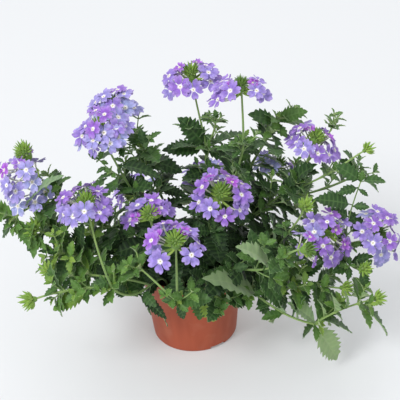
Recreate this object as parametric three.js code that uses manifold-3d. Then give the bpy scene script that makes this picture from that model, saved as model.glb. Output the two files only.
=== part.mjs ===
// A trailing garden verbena in flower, growing in its moulded plastic nursery pot.
// Millimetres, +Z up. The origin is the centre of the pot's flat underside.
// The front of the plant faces -Y, and +X is on its right.
import * as THREE from "three";
import { mergeVertices } from "three/addons/utils/BufferGeometryUtils.js";
import Module from "manifold-3d";

const wasm = await Module();
wasm.setup();

// ---------------------------------------------------------------- driving dimensions

const CLEAR = 0.3; // gap between solids that rest on or in one another
const ROUND_SIDES = 24; // facets round the pot and the soil

const POT = {
  height: 85.6,
  footRadius: 41.2, // flat underside
  wallFoot: [43.6, 2.6], // radius and height where the rounded foot meets the wall
  wallTop: [51.0, 75.5], // radius and height where the wall meets the rim
  rimFoot: [52.6, 76.3],
  rimRadius: 53.4,
  innerTopRadius: 51.2,
  innerFootRadius: 42.0,
  floor: 3.0,
};
const DRAIN = { count: 3, radius: 3.5, ring: 26, sides: 6 };
const FOOT_SLOT = { count: 3, width: 17, depth: 5, height: 2.2, firstAngle: -59 };

const SOIL = { top: 76, holeDepth: 9.5, holeSlack: 0.5 };

const MAIN_STEM = { radius: 1.5, sides: 4, steps: 5 };
const SIDE_STEM = { radius: 1.3, sides: 3, steps: 3 };

const LEAF = {
  thickness: 1.4, // at its midrib
  halfWidth: 0.31, // share of the length
  droop: 0.3, // share of the length that the tip hangs below the leaf's own plane
  fold: 0.22, // rise of each half from the midrib
  stalk: 0.5, // half width at the stem
  lift: 26, // degrees that a leaf leans along its stem
  outward: 0.6, // how far its face turns from the sky towards the stem's tip
  stray: { length: [0.88, 0.2], turn: 20, lift: 16 },
};
// One side of a leaf, as shares of its length and of its half width. Teeth point to the tip.
const LARGE_LEAF = [[0.27, 0.85], [0.35, 0.46], [0.54, 1], [0.61, 0.42], [0.81, 0.56]];
const SMALL_LEAF = [[0.36, 1], [0.46, 0.42], [0.72, 0.76]];
const LARGE_FROM = 43; // leaves this long or longer have three teeth a side, smaller ones two
const STAGGER = 0.04; // the left teeth stand this share of the length nearer the stem

// A corolla thins from its throat out to the rim of its petals, as a shallow star-shaped cone.
const FLORET = {
  petals: 5,
  radius: 11,
  throat: 0.34, // share of the radius where two petals part
  shoulder: 20, // half angle of a petal's broad end
  reflex: 0.012, // rise of the face at its middle, over the radius squared
  neck: [1.3, -3.2], // radius of the tube where the corolla starts, and its level
  tube: 1.0, // radius of the tube at its foot
};
// Florets stand in two rings, at these angles from the stalk's axis, by turns. Their tubes meet
// below the tuft. In a head that has flowered for long, the stalk has grown and they hang lower.
const HEAD = {
  reach: 25,
  young: { angles: [86, 54], below: 7 },
  old: { angles: [104, 72], below: 17 },
  collar: { inner: 2.1, outer: 5.8, half: 2.8, seat: { out: 1.2, down: 1.2 } },
  outward: 0.2, // how far each floret turns from its own direction towards the stalk's
  stray: { tilt: 8, reach: 2 },
};
// A core whose facets, down to an angle from its axis, are each drawn out to the point of a bud.
// Each tuft is turned on from the one before by a fixed step.
const TUFT = { core: 3.6, reach: 13, bottom: 80 };
const BUDS = { core: 4.4, reach: 9.5, bottom: 100 };
const PHASE = { stem: 40, shoot: 31 };

// ---------------------------------------------------------------- the plant, stem by stem
// Each stem starts at its root in the soil and follows one cubic curve: two handles and an end.
// pairs: [place along the curve, leaf length, turn of the pair round the stem in degrees].
// shoots start at a place along the curve that carries them. ends: "head" opens in florets round
// a tuft of buds, "buds" is a green bud head, and "leaves" is a bare tip between its last pair.

const STEMS = [
  {
    name: "left_tall", root: [-10, 14], line: [[-12, 18, 140], [-42, 30, 180], [-69, 45, 244]],
    ends: "head", florets: 7, pairs: [[0.46, 42, 20], [0.6, 40, 110], [0.76, 40, 30]],
    shoots: [
      {
        at: 0.6, line: [[-38, 24, 186], [-40, 20, 196], [-40, 18, 207]],
        ends: "leaves", pairs: [[0.97, 34, 60]],
      },
    ],
  },
  {
    name: "left_inner", root: [-20, -4], line: [[-26, -4, 130], [-58, -2, 170], [-78, -20, 254]],
    ends: "head", florets: 6, pairs: [[0.4, 42, 70], [0.58, 40, -20], [0.72, 30, 60]],
  },
  {
    name: "centre_tall", root: [4, 16], line: [[6, 18, 120], [22, 34, 150], [21, 38, 195]],
    ends: "leaves", pairs: [[0.5, 40, 10], [0.72, 36, 100], [0.86, 34, 55], [0.98, 42, -10]],
    shoots: [
      {
        at: 1, line: [[20, 40, 215], [13, 44, 240], [11, 45, 274]],
        ends: "head", florets: 7, pairs: [],
      },
      {
        at: 0.96, line: [[26, 34, 206], [31, 31, 214], [32, 29, 228]],
        ends: "leaves", pairs: [[0.97, 18, 40]],
      },
    ],
  },
  {
    name: "right_tall", root: [14, 8], line: [[16, 8, 130], [50, 6, 160], [57, 2, 215]],
    ends: "leaves", pairs: [[0.48, 42, 60], [0.72, 40, -30], [0.95, 28, 50]],
    shoots: [
      { at: 1, line: [[58, 1, 235], [57, 0, 255], [57, 0, 280]], ends: "head", florets: 6, pairs: [] },
    ],
  },
  {
    name: "far_left", root: [-30, -6], line: [[-60, -8, 150], [-130, -24, 160], [-148, -26, 236]],
    ends: "head", age: "old", florets: 7, pairs: [[0.38, 42, 10], [0.56, 42, 90], [0.7, 40, 5]],
    shoots: [
      {
        at: 0.6, line: [[-114, -30, 146], [-132, -42, 150], [-145, -50, 166]],
        ends: "buds", pairs: [[0.45, 32, 20], [0.85, 36, 70]],
      },
      {
        at: 0.7, line: [[-134, -24, 182], [-150, -36, 184], [-163, -44, 176]],
        ends: "leaves", pairs: [[0.97, 34, 45]],
      },
    ],
  },
  {
    name: "low_left", root: [-24, -26], line: [[-28, -42, 124], [-48, -72, 74], [-75, -86, 118]],
    ends: "leaves", pairs: [[0.62, 36, 10], [0.97, 34, 80]],
    shoots: [
      {
        at: 1, line: [[-82, -84, 140], [-88, -76, 165], [-91, -71, 206]],
        ends: "head", florets: 6, pairs: [],
      },
      {
        at: 0.5, line: [[-52, -66, 112], [-76, -74, 122], [-96, -76, 128]],
        ends: "leaves", pairs: [[0.97, 32, 30]],
      },
      {
        at: 0.98, line: [[-95, -92, 128], [-125, -96, 126], [-149, -100, 120]],
        ends: "buds", pairs: [[0.32, 34, 10], [0.62, 30, 90]],
        shoots: [
          {
            at: 0.6, line: [[-124, -90, 130], [-130, -82, 132], [-134, -77, 136]],
            ends: "buds", pairs: [],
          },
        ],
      },
    ],
  },
  {
    name: "front_left", root: [-14, -14], line: [[-18, -22, 130], [-34, -52, 135], [-35, -65, 185]],
    ends: "head", florets: 6, pairs: [[0.36, 44, 50], [0.55, 42, -30], [0.72, 32, 60]],
  },
  {
    name: "front", root: [-8, -30], line: [[-10, -50, 125], [-14, -90, 92], [-14, -108, 116]],
    ends: "leaves", pairs: [[0.55, 36, 0], [0.97, 30, 0]],
    shoots: [
      {
        at: 1, line: [[-13, -110, 140], [-12, -116, 165], [-11, -120, 191]],
        ends: "head", florets: 6, pairs: [],
      },
      {
        at: 0.96, line: [[-24, -104, 122], [-36, -98, 136], [-46, -94, 144]],
        ends: "leaves", pairs: [[0.97, 26, 0]],
      },
    ],
  },
  {
    name: "centre", root: [6, -8], line: [[8, -12, 120], [26, -36, 140], [32, -45, 192]],
    ends: "head", florets: 7, pairs: [[0.36, 46, 20], [0.56, 42, 110], [0.74, 34, 30]],
  },
  {
    name: "right_high", root: [26, 12], line: [[40, 14, 140], [108, 4, 130], [129, 20, 208]],
    ends: "head", florets: 6, pairs: [[0.4, 44, 0], [0.55, 42, 90], [0.69, 38, 0]],
    shoots: [
      {
        at: 0.68, line: [[130, 3, 165], [158, 6, 188], [177, 10, 197]],
        ends: "buds", pairs: [[0.4, 28, 10]],
      },
      {
        at: 0.72, line: [[122, 32, 176], [140, 44, 186], [149, 50, 202]],
        ends: "leaves", pairs: [[0.97, 24, 60]],
      },
    ],
  },
  {
    name: "right", root: [24, -8], line: [[40, -14, 130], [100, -34, 96], [138, -45, 142]],
    ends: "head", florets: 7, pairs: [[0.38, 44, 10], [0.56, 42, 95], [0.73, 34, 10]],
    shoots: [
      {
        at: 0.6, line: [[92, -34, 132], [104, -46, 150], [111, -50, 173]],
        ends: "buds", pairs: [[0.4, 20, 30]],
      },
    ],
  },
  {
    name: "right_front", root: [12, -20], line: [[18, -44, 130], [62, -84, 108], [86, -93, 145]],
    ends: "leaves", pairs: [[0.45, 42, 0], [0.7, 42, 90], [0.95, 28, 10]],
    shoots: [
      {
        at: 1, line: [[92, -94, 154], [99, -96, 158], [108, -99, 158]],
        ends: "head", florets: 6, pairs: [],
      },
    ],
  },
  {
    name: "far_right", root: [32, 2], line: [[58, 0, 136], [138, -20, 84], [186, -30, 125]],
    ends: "head", florets: 6, pairs: [[0.36, 42, 0], [0.56, 42, 85], [0.74, 36, 0]],
    shoots: [
      {
        at: 0.75, line: [[152, -38, 96], [160, -58, 100], [165, -70, 112]],
        ends: "buds", pairs: [[0.5, 26, 20]],
      },
    ],
  },
  {
    name: "back_right", root: [16, 24], line: [[22, 32, 140], [80, 52, 110], [95, 62, 157]],
    ends: "head", florets: 6, pairs: [[0.4, 42, 20], [0.66, 42, 100]],
  },
  {
    name: "low_right", root: [26, -24], line: [[30, -34, 128], [62, -78, 66], [119, -90, 64]],
    ends: "leaves", pairs: [[0.5, 36, 5], [0.98, 44, -15]],
    shoots: [
      {
        at: 0.98, line: [[134, -84, 74], [154, -80, 78], [177, -78, 82]],
        ends: "buds", pairs: [[0.35, 30, 80], [0.72, 34, -15]],
      },
      {
        at: 0.5, line: [[66, -64, 88], [82, -68, 86], [96, -68, 94]],
        ends: "leaves", pairs: [[0.5, 34, 60], [0.97, 32, 0]],
      },
    ],
  },
  {
    name: "front_low", root: [4, -38], line: [[6, -52, 106], [16, -70, 98], [27, -80, 92]],
    ends: "leaves", pairs: [[0.55, 30, 60], [0.95, 34, 0]],
  },
  {
    name: "side_low", root: [-34, -16], line: [[-44, -28, 110], [-56, -44, 104], [-64, -52, 100]],
    ends: "leaves", pairs: [[0.5, 30, 60], [0.95, 30, 0]],
  },
  {
    name: "back_left", root: [-20, 26], line: [[-24, 40, 140], [-50, 92, 96], [-62, 112, 100]],
    ends: "head", florets: 6, pairs: [[0.6, 40, 30]],
  },
  {
    name: "back", root: [2, 32], line: [[4, 52, 140], [16, 100, 96], [22, 128, 108]],
    ends: "head", florets: 6, pairs: [[0.42, 38, 20], [0.7, 34, 100]],
  },
  {
    name: "low_back_left", root: [-34, 8], line: [[-56, 16, 126], [-96, 40, 110], [-130, 52, 104]],
    ends: "buds", pairs: [[0.42, 42, 0], [0.7, 40, 90]],
  },
  {
    name: "low_back_right", root: [36, 14], line: [[50, 30, 150], [122, 58, 104], [178, 46, 150]],
    ends: "leaves", pairs: [[0.4, 42, 5], [0.6, 42, 85], [0.8, 40, 5], [0.98, 32, 90]],
  },
  {
    name: "left_spread", root: [-40, -4], line: [[-54, -14, 124], [-92, -50, 126], [-123, -60, 144]],
    ends: "leaves", pairs: [[0.4, 42, 10], [0.62, 42, 95], [0.82, 38, 5], [0.98, 30, 90]],
  },
  {
    name: "right_spread", root: [36, -12], line: [[44, -18, 128], [96, -50, 80], [147, -64, 86]],
    ends: "buds", pairs: [[0.4, 42, 5], [0.62, 42, 90], [0.82, 36, 0]],
  },
  {
    name: "back_tall", root: [25, 28], line: [[31, 30, 130], [62, 34, 160], [93, 41, 220]],
    ends: "leaves", pairs: [[0.52, 42, 0], [0.7, 42, 90], [0.85, 42, 10], [0.98, 38, 95]],
  },
];

// A leaf that would meet another stem is turned, raised and shortened until it is clear of it:
// [extra turn, extra lift, share of its length]. One that is never clear isn't grown.
const LEAF_TRIES = [
  [0, 0, 1], [18, 0, 1], [-18, 0, 1], [0, 18, 0.95], [36, 8, 0.9], [-36, 8, 0.9],
  [0, 34, 0.85], [60, 12, 0.8], [-60, 12, 0.8], [0, 50, 0.7],
];

// ---------------------------------------------------------------- materials

const plastic = new THREE.MeshStandardMaterial({ color: 0xa5573b, roughness: 0.55, metalness: 0 });
const compost = new THREE.MeshStandardMaterial({ color: 0x35261c, roughness: 0.95, metalness: 0 });
const foliage = new THREE.MeshStandardMaterial({ color: 0x3d6b2c, roughness: 0.7, metalness: 0 });
const petals = new THREE.MeshStandardMaterial({ color: 0xa07ddc, roughness: 0.75, metalness: 0 });

// ---------------------------------------------------------------- solids

const radians = (degrees) => (degrees * Math.PI) / 180;
const vector = ([x, y, z]) => new THREE.Vector3(x, y, z);
const UP = new THREE.Vector3(0, 0, 1);

// An even spread between 0 and 1 from two whole numbers, the same on every run.
function draw(a, b) {
  const wave = Math.sin(a * 12.9898 + b * 78.233) * 43758.5453;
  return wave - Math.floor(wave);
}

function solidOf(geometry) {
  const bare = geometry.clone();
  bare.deleteAttribute("normal");
  bare.deleteAttribute("uv");
  const merged = mergeVertices(bare, 1e-4);
  return new wasm.Manifold(new wasm.Mesh({
    numProp: 3,
    vertProperties: Float32Array.from(merged.attributes.position.array),
    triVerts: Uint32Array.from(merged.index.array),
  }));
}

function join(solids) {
  return wasm.Manifold.union(solids);
}

function meshOf(name, solid, material) {
  const { vertProperties, triVerts } = solid.getMesh();
  const geometry = new THREE.BufferGeometry();
  geometry.setAttribute("position", new THREE.BufferAttribute(vertProperties, 3));
  geometry.setIndex(new THREE.BufferAttribute(triVerts, 1));
  geometry.computeVertexNormals();
  const mesh = new THREE.Mesh(geometry, material);
  mesh.name = name;
  return mesh;
}

// A solid turned round Z from a closed profile of [radius, height] points.
function turned(profile, sides) {
  const points = profile.map(([radius, height]) => new THREE.Vector2(radius, height));
  const lathe = new THREE.LatheGeometry(points, sides, Math.PI / 2);
  return lathe.rotateX(Math.PI / 2);
}

function regularShape(radius, sides) {
  const shape = new THREE.Shape();
  for (let i = 0; i < sides; i += 1) {
    const angle = (2 * Math.PI * (i + 0.5)) / sides;
    const step = i === 0 ? "moveTo" : "lineTo";
    shape[step](radius * Math.cos(angle), radius * Math.sin(angle));
  }
  return shape;
}

function rod(curve, radius, { sides, steps }) {
  return new THREE.ExtrudeGeometry(regularShape(radius, sides), { steps, extrudePath: curve });
}

// Where a stem starts, inside its hole in the soil, and the curve that a shoot follows.
function rootOf({ root: [x, y] }) {
  return new THREE.Vector3(x, y, SOIL.top - SOIL.holeDepth);
}

function curveOf({ line }, start) {
  return new THREE.CubicBezierCurve3(start, ...line.map(vector));
}

// A leaf's blade, as a ladder of rungs from its base to its tip. left and right are [x, y] points in
// pairs, and bend(x, y) lifts them. The underside spans the rungs, and the upper face rises from a
// sharp margin to a crest over the stalk and over every tooth.
function blade(left, right, tip, thickness, bend) {
  const outline = [...right, tip, ...left.toReversed()];
  const last = outline.length - 1;
  const points = outline.map(([x, y]) => new THREE.Vector3(x, y, bend(x, y)));
  const faces = [];
  let crest = 0;
  for (let i = 0; i < right.length; i += 1) {
    if (i === 0 || i % 2 === 1) {
      const middle = points[i].clone().lerp(points[last - i], 0.5);
      points.push(middle.add(new THREE.Vector3(0, 0, thickness)));
      const next = points.length - 1;
      faces.push(...(i === 0 ? [[0, next, last]] : [[crest, i, next], [crest, next, last - i]]));
      crest = next;
    }
    faces.push([crest, i, i + 1], [crest, last - i - 1, last - i]);
    faces.push([i + 1, i, last - i]);
    if (i + 1 < right.length) faces.push([last - i - 1, i + 1, last - i]);
  }
  const geometry = new THREE.BufferGeometry().setFromPoints(points);
  geometry.setIndex(faces.flat());
  return geometry;
}

// The room that a blade needs: the same ladder on both faces of a plate, with a margin all round.
function room(left, right, tip, thickness, bend, margin) {
  const flat = [...right, tip, ...left.toReversed()];
  const count = flat.length;
  const levels = [thickness + margin, -margin];
  const points = levels.flatMap(
    (level) => flat.map(([x, y]) => new THREE.Vector3(x, y, bend(x, y) + level)),
  );
  const faces = [];
  const face = (a, b, c) => faces.push([a, b, c], [c + count, b + count, a + count]);
  for (let i = 0; i + 1 < right.length; i += 1) {
    face(count - 1 - i, i, i + 1);
    face(count - 1 - i, i + 1, count - 2 - i);
  }
  face(right.length + 1, right.length - 1, right.length);
  for (let a = 0; a < count; a += 1) {
    const b = (a + 1) % count;
    faces.push([b, a, a + count], [b, a + count, b + count]);
  }
  const geometry = new THREE.BufferGeometry().setFromPoints(points);
  geometry.setIndex(faces.flat());
  return geometry;
}

function frameOf(ahead, side, face, origin) {
  return new THREE.Matrix4().makeBasis(ahead, side, face).setPosition(origin);
}

// A frame whose Z runs along the given axis.
function frameAlong(axis, origin) {
  const turn = new THREE.Quaternion().setFromUnitVectors(UP, axis);
  return new THREE.Matrix4().makeRotationFromQuaternion(turn).setPosition(origin);
}

// ---------------------------------------------------------------- pot and soil

function buildPot() {
  const body = solidOf(turned([
    [0, 0], [POT.footRadius, 0], POT.wallFoot, POT.wallTop, POT.rimFoot,
    [POT.rimRadius, POT.height], [POT.innerTopRadius, POT.height],
    [POT.innerFootRadius, POT.floor], [0, POT.floor],
  ], ROUND_SIDES));
  const cuts = [];
  for (let i = 0; i < DRAIN.count; i += 1) {
    const hole = new THREE.CylinderGeometry(DRAIN.radius, DRAIN.radius, 4 * POT.floor, DRAIN.sides);
    hole.rotateX(Math.PI / 2).translate(DRAIN.ring, 0, 0).rotateZ((2 * Math.PI * i) / DRAIN.count);
    cuts.push(solidOf(hole));
  }
  for (let i = 0; i < FOOT_SLOT.count; i += 1) {
    const slot = new THREE.BoxGeometry(2 * FOOT_SLOT.depth, FOOT_SLOT.width, 2 * FOOT_SLOT.height);
    const angle = radians(FOOT_SLOT.firstAngle) + (2 * Math.PI * i) / FOOT_SLOT.count;
    slot.translate(POT.wallFoot[0], 0, 0).rotateZ(angle);
    cuts.push(solidOf(slot));
  }
  return body.subtract(join(cuts));
}

function buildSoil() {
  const slope = (POT.innerTopRadius - POT.innerFootRadius) / (POT.height - POT.floor);
  const bottom = POT.floor + CLEAR;
  const foot = POT.innerFootRadius + slope * CLEAR - 2 * CLEAR;
  const brim = POT.innerFootRadius + slope * (SOIL.top - POT.floor) - 2 * CLEAR;
  const body = solidOf(turned([[0, bottom], [foot, bottom], [brim, SOIL.top], [0, SOIL.top]], ROUND_SIDES));
  const holes = STEMS.map((stem) => {
    const bottom = rootOf(stem).addScaledVector(UP, -CLEAR);
    return solidOf(rod(curveOf(stem, bottom), MAIN_STEM.radius + SOIL.holeSlack, MAIN_STEM));
  });
  return body.subtract(join(holes));
}

// ---------------------------------------------------------------- flower heads and bud heads

function buildTuft(style, axis, centre, phase) {
  const facets = new THREE.IcosahedronGeometry(style.core, 0).rotateZ(radians(phase)).attributes.position;
  const points = [];
  for (let i = 0; i < facets.count; i += 3) {
    const corners = [0, 1, 2].map((k) => new THREE.Vector3().fromBufferAttribute(facets, i + k));
    const point = corners[0].clone().add(corners[1]).add(corners[2]).setLength(style.reach);
    if (point.angleTo(UP) > radians(style.bottom)) {
      points.push(...corners);
    } else {
      for (let k = 0; k < 3; k += 1) points.push(corners[k], corners[(k + 1) % 3], point);
    }
  }
  const tuft = new THREE.BufferGeometry().setFromPoints(points);
  return solidOf(tuft.applyMatrix4(frameAlong(axis, centre)));
}

// One floret: the star of its petals, the shallow cone behind it down to the neck of the tube, and
// the slender three-sided tube back to its foot.
function floretSolid(faceFrame, foot) {
  const petalPoints = [];
  const step = 360 / FLORET.petals;
  for (let petal = 0; petal < FLORET.petals; petal += 1) {
    for (const [turn, share] of [[-step / 2, FLORET.throat], [-FLORET.shoulder, 1], [FLORET.shoulder, 1]]) {
      const angle = radians(step * petal + turn);
      const radius = share * FLORET.radius;
      const flat = new THREE.Vector2(radius * Math.cos(angle), radius * Math.sin(angle));
      petalPoints.push(flat);
    }
  }
  const rim = petalPoints.map(({ x, y }) => new THREE.Vector3(x, y, -FLORET.reflex * (x * x + y * y)));
  const ring = [0, 1, 2].map((k) => radians(120 * k + step / 3)).map((a) => [Math.cos(a), Math.sin(a)]);
  const [neckRadius, neckDepth] = FLORET.neck;
  const neck = ring.map(([x, y]) => new THREE.Vector3(x * neckRadius, y * neckRadius, neckDepth));
  const world = [...rim, ...neck].map((point) => point.applyMatrix4(faceFrame));
  const thin = FLORET.tube / neckRadius;
  const neckMiddle = new THREE.Vector3(0, 0, neckDepth).applyMatrix4(faceFrame);
  for (let k = 0; k < 3; k += 1) {
    world.push(world[rim.length + k].clone().sub(neckMiddle).multiplyScalar(thin).add(foot));
  }
  const faces = THREE.ShapeUtils.triangulateShape(petalPoints, []);
  const neckAt = (k) => rim.length + (k % 3);
  const footAt = (k) => rim.length + 3 + (k % 3);
  const perCorner = rim.length / 3;
  rim.forEach((_, i) => {
    const next = (i + 1) % rim.length;
    const sector = Math.floor(i / perCorner);
    faces.push([next, i, neckAt(sector)]);
    if (next % perCorner === 0) faces.push([next, neckAt(sector), neckAt(sector + 1)]);
  });
  for (let k = 0; k < 3; k += 1) {
    faces.push([neckAt(k + 1), neckAt(k), footAt(k)], [neckAt(k + 1), footAt(k), footAt(k + 1)]);
  }
  faces.push([footAt(0), footAt(2), footAt(1)]);
  const geometry = new THREE.BufferGeometry().setFromPoints(world);
  geometry.setIndex(faces.flat());
  return solidOf(geometry);
}

// All the florets of one head, their tubes joined by a collar round the stalk with a clear gap.
function buildFlorets(axis, tuftCentre, count, phase, { angles, below }) {
  const centre = tuftCentre.clone().addScaledVector(axis, -below);
  const frame = frameAlong(axis, centre);
  const { inner, outer, half, seat } = HEAD.collar;
  const collar = turned([[inner, -half], [outer, -half], [inner, half], [inner, -half]], count);
  const parts = [solidOf(collar.applyMatrix4(frame))];
  for (let i = 0; i < count; i += 1) {
    const turn = (2 * Math.PI * (i + 0.5)) / count;
    const tilt = radians(angles[i % 2] + HEAD.stray.tilt * (draw(phase, i) - 0.5));
    const sideways = new THREE.Vector3(Math.cos(turn), Math.sin(turn), 0).transformDirection(frame);
    const direction = sideways.clone().multiplyScalar(Math.sin(tilt)).addScaledVector(axis, Math.cos(tilt));
    const foot = centre.clone().addScaledVector(sideways, inner + seat.out);
    foot.addScaledVector(axis, -seat.down);
    const reach = HEAD.reach + HEAD.stray.reach * draw(phase, i + 20);
    const face = centre.clone().addScaledVector(direction, reach);
    const outward = direction.clone().addScaledVector(axis, HEAD.outward).normalize();
    const spin = new THREE.Matrix4().makeRotationZ(radians((360 / FLORET.petals) * draw(phase, i + 50)));
    parts.push(floretSolid(frameAlong(outward, face).multiply(spin), foot));
  }
  return join(parts);
}

// ---------------------------------------------------------------- leaves

// The leaf's own frame: X from stem to tip, Z out of its upper face, which turns to the sky.
function leafFrame(origin, along, turn, lift) {
  const across = new THREE.Vector3().crossVectors(along, UP).normalize();
  const over = new THREE.Vector3().crossVectors(across, along).normalize();
  const ahead = across.multiplyScalar(Math.cos(turn)).addScaledVector(over, Math.sin(turn));
  ahead.multiplyScalar(Math.cos(lift)).addScaledVector(along, Math.sin(lift)).normalize();
  const face = UP.clone().addScaledVector(along, LEAF.outward);
  face.addScaledVector(ahead, -face.dot(ahead)).normalize();
  const side = new THREE.Vector3().crossVectors(face, ahead);
  return frameOf(ahead, side, face, origin);
}

// The leaf itself, or where a margin is given the room that it needs.
function leafSolid(length, frame, margin = 0) {
  const bend = (x, y) => LEAF.fold * Math.abs(y) - (LEAF.droop * x * x) / length;
  const teeth = length >= LARGE_FROM ? LARGE_LEAF : SMALL_LEAF;
  const halfWidth = LEAF.halfWidth * length + margin;
  const edge = (side, shift) => [
    [0, side * LEAF.stalk],
    ...teeth.map(([x, y]) => [(x - shift) * length, side * y * halfWidth]),
  ];
  const form = margin > 0 ? room : blade;
  const geometry = form(edge(1, STAGGER), edge(-1, 0), [length + margin, 0], LEAF.thickness, bend, margin);
  return solidOf(geometry.applyMatrix4(frame));
}

// ---------------------------------------------------------------- growing the stems

// Follows one shoot and all that it carries, and lists what has to be built.
function follow(shoot, start, form, plan) {
  const curve = curveOf(shoot, start);
  plan.green.push(solidOf(rod(curve, form.radius, form)));
  const end = curve.getPoint(1);
  const axis = end.clone().sub(curve.getPoint(1 - 1 / form.steps)).normalize();
  const phase = plan.phase + PHASE.shoot * plan.green.length;
  if (shoot.ends !== "leaves") {
    plan.green.push(buildTuft(shoot.ends === "head" ? TUFT : BUDS, axis, end, phase));
  }
  if (shoot.ends === "head") {
    plan.heads.push({ axis, end, phase, florets: shoot.florets, form: HEAD[shoot.age ?? "young"] });
  }
  for (const [at, length, turn] of shoot.pairs) {
    const along = curve.getTangent(at);
    for (const half of [0, 180]) {
      plan.leaves.push({ at: curve.getPoint(at), along, length, turn: turn + half });
    }
  }
  for (const side of shoot.shoots ?? []) follow(side, curve.getPoint(side.at), SIDE_STEM, plan);
}

const taken = []; // every solid so far: { owner, solid, box }

function take(owner, solid) {
  taken.push({ owner, solid, box: solid.boundingBox() });
}

function boxesMeet(a, b) {
  return [0, 1, 2].every((k) => a.min[k] < b.max[k] && b.min[k] < a.max[k]);
}

function isClear(solid, owner) {
  const box = solid.boundingBox();
  return taken.every((other) => other.owner === owner || !boxesMeet(box, other.box)
    || solid.intersect(other.solid).isEmpty());
}

// The first try of a leaf that clears every other node, or null.
function growLeaf(leaf, number, owner, stalk) {
  const { stray } = LEAF;
  for (const [turn, lift, share] of LEAF_TRIES) {
    const length = leaf.length * share * (stray.length[0] + stray.length[1] * draw(number, 1));
    const angle = radians(leaf.turn + turn + stray.turn * (draw(number, 2) - 0.5));
    const rise = radians(LEAF.lift + lift + stray.lift * (draw(number, 3) - 0.5));
    const frame = leafFrame(leaf.at, leaf.along, angle, rise);
    const solid = leafSolid(length, frame);
    if (isClear(leafSolid(length, frame, CLEAR), owner) && !solid.intersect(stalk).isEmpty()) return solid;
  }
  return null;
}

const plant = new THREE.Group();
const pot = buildPot();
const soil = buildSoil();
take("pot", pot);
take("soil", soil);
plant.add(meshOf("pot", pot, plastic), meshOf("soil", soil, compost));

const plans = STEMS.map((stem, index) => {
  const plan = { name: stem.name, phase: PHASE.stem * index, green: [], heads: [], leaves: [] };
  follow(stem, rootOf(stem), MAIN_STEM, plan);
  return plan;
});

for (const plan of plans) {
  plan.stalk = join(plan.green);
  take(plan.name, plan.stalk);
  plan.heads.forEach(({ axis, end, phase, florets, form }) => {
    const solid = buildFlorets(axis, end, florets, phase, form);
    take(`${plan.name} florets`, solid);
    plant.add(meshOf(`florets_${plan.name}`, solid, petals));
  });
}

let leafNumber = 0;
for (const plan of plans) {
  const leaves = [];
  for (const leaf of plan.leaves) {
    leafNumber += 1;
    const solid = growLeaf(leaf, leafNumber, plan.name, plan.stalk);
    if (solid) {
      leaves.push(solid);
      take(plan.name, solid);
    }
  }
  plant.add(meshOf(`stem_${plan.name}`, join([plan.stalk, ...leaves]), foliage));
}

export default plant;
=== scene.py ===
# %% [markdown]
# # A trailing verbena in its nursery pot
#
# The plant is a garden verbena: square, hairy green stems, pairs of coarsely toothed leaves, and domed
# heads of small five-petalled florets round a tuft of buds. It stands in a moulded plastic pot.
# The construction model already fixes every stem, leaf and head. This lesson dresses it: each plain
# solid is replaced by a finer mesh that keeps its place and form. Work is done in millimetres, along
# the same growth rules, and is scaled to Blender's metres when a mesh is made.

# %% Load the frame
import math
from functools import lru_cache

import bpy
import numpy as np
from mathutils import Euler, Matrix, Vector
from mathutils.kdtree import KDTree


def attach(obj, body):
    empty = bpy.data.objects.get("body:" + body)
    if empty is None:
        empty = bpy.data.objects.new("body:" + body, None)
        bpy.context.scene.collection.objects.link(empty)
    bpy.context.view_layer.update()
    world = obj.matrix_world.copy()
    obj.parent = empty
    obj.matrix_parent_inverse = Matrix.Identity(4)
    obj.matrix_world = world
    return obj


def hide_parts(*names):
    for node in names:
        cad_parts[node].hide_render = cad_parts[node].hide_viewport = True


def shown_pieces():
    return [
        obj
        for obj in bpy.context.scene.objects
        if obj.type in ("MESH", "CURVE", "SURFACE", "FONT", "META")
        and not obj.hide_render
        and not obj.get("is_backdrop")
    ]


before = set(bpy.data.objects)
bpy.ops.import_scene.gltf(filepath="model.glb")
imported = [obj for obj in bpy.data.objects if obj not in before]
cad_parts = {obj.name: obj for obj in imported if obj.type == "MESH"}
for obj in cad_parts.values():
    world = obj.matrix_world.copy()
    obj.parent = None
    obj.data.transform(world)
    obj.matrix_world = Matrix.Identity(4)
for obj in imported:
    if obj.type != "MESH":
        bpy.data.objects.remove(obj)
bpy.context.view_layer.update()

MM = 0.001

# %% [markdown]
# ## Camera
#
# The plant is seen from a little above. The camera looks down by about 32 degrees through a long lens, and
# it is held slightly askew. A long lens keeps the near leaves from growing too large. The camera is made
# first, so that every later look at the scene is from the same place.

# %% Camera
CAMERA = {"place": (12.4, -950, 750), "down": 32, "roll": -3.3, "view": 20.0}  # in mm, then in degrees


def make_camera():
    data = bpy.data.cameras.new("camera")
    data.angle = math.radians(CAMERA["view"])
    camera = bpy.data.objects.new("camera", data)
    tilt = Euler((math.radians(90 - CAMERA["down"]), 0, 0)).to_matrix()
    roll = Matrix.Rotation(math.radians(CAMERA["roll"]), 3, "Z")
    camera.matrix_world = Matrix.Translation(Vector(CAMERA["place"]) * MM) @ (tilt @ roll).to_4x4()
    bpy.context.scene.collection.objects.link(camera)
    bpy.context.scene.camera = camera
    return camera


camera = make_camera()
print("camera at", [round(v, 3) for v in camera.location], "lens", round(camera.data.lens, 1), "mm")

# %% [markdown]
# ## Colour and nodes
#
# Colours are written as sRGB hex values, as a paint chart gives them, and one function turns them into
# the linear values that a shader needs. Another adds any node to a material, with its settings and links,
# so that each finish below reads as a short recipe. Pattern sizes are real sizes in millimetres.

# %% Helpers for materials
def linear(hex_colour):
    """An sRGB hex colour as linear red, green, blue and alpha."""
    parts = [int(hex_colour[i:i + 2], 16) / 255 for i in (1, 3, 5)]
    return (*[p / 12.92 if p <= 0.04045 else ((p + 0.055) / 1.055) ** 2.4 for p in parts], 1.0)


def per_size(size_mm):
    """The scale of a pattern, in metres, whose features are this many millimetres across."""
    return 1 / (size_mm * MM)


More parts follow.
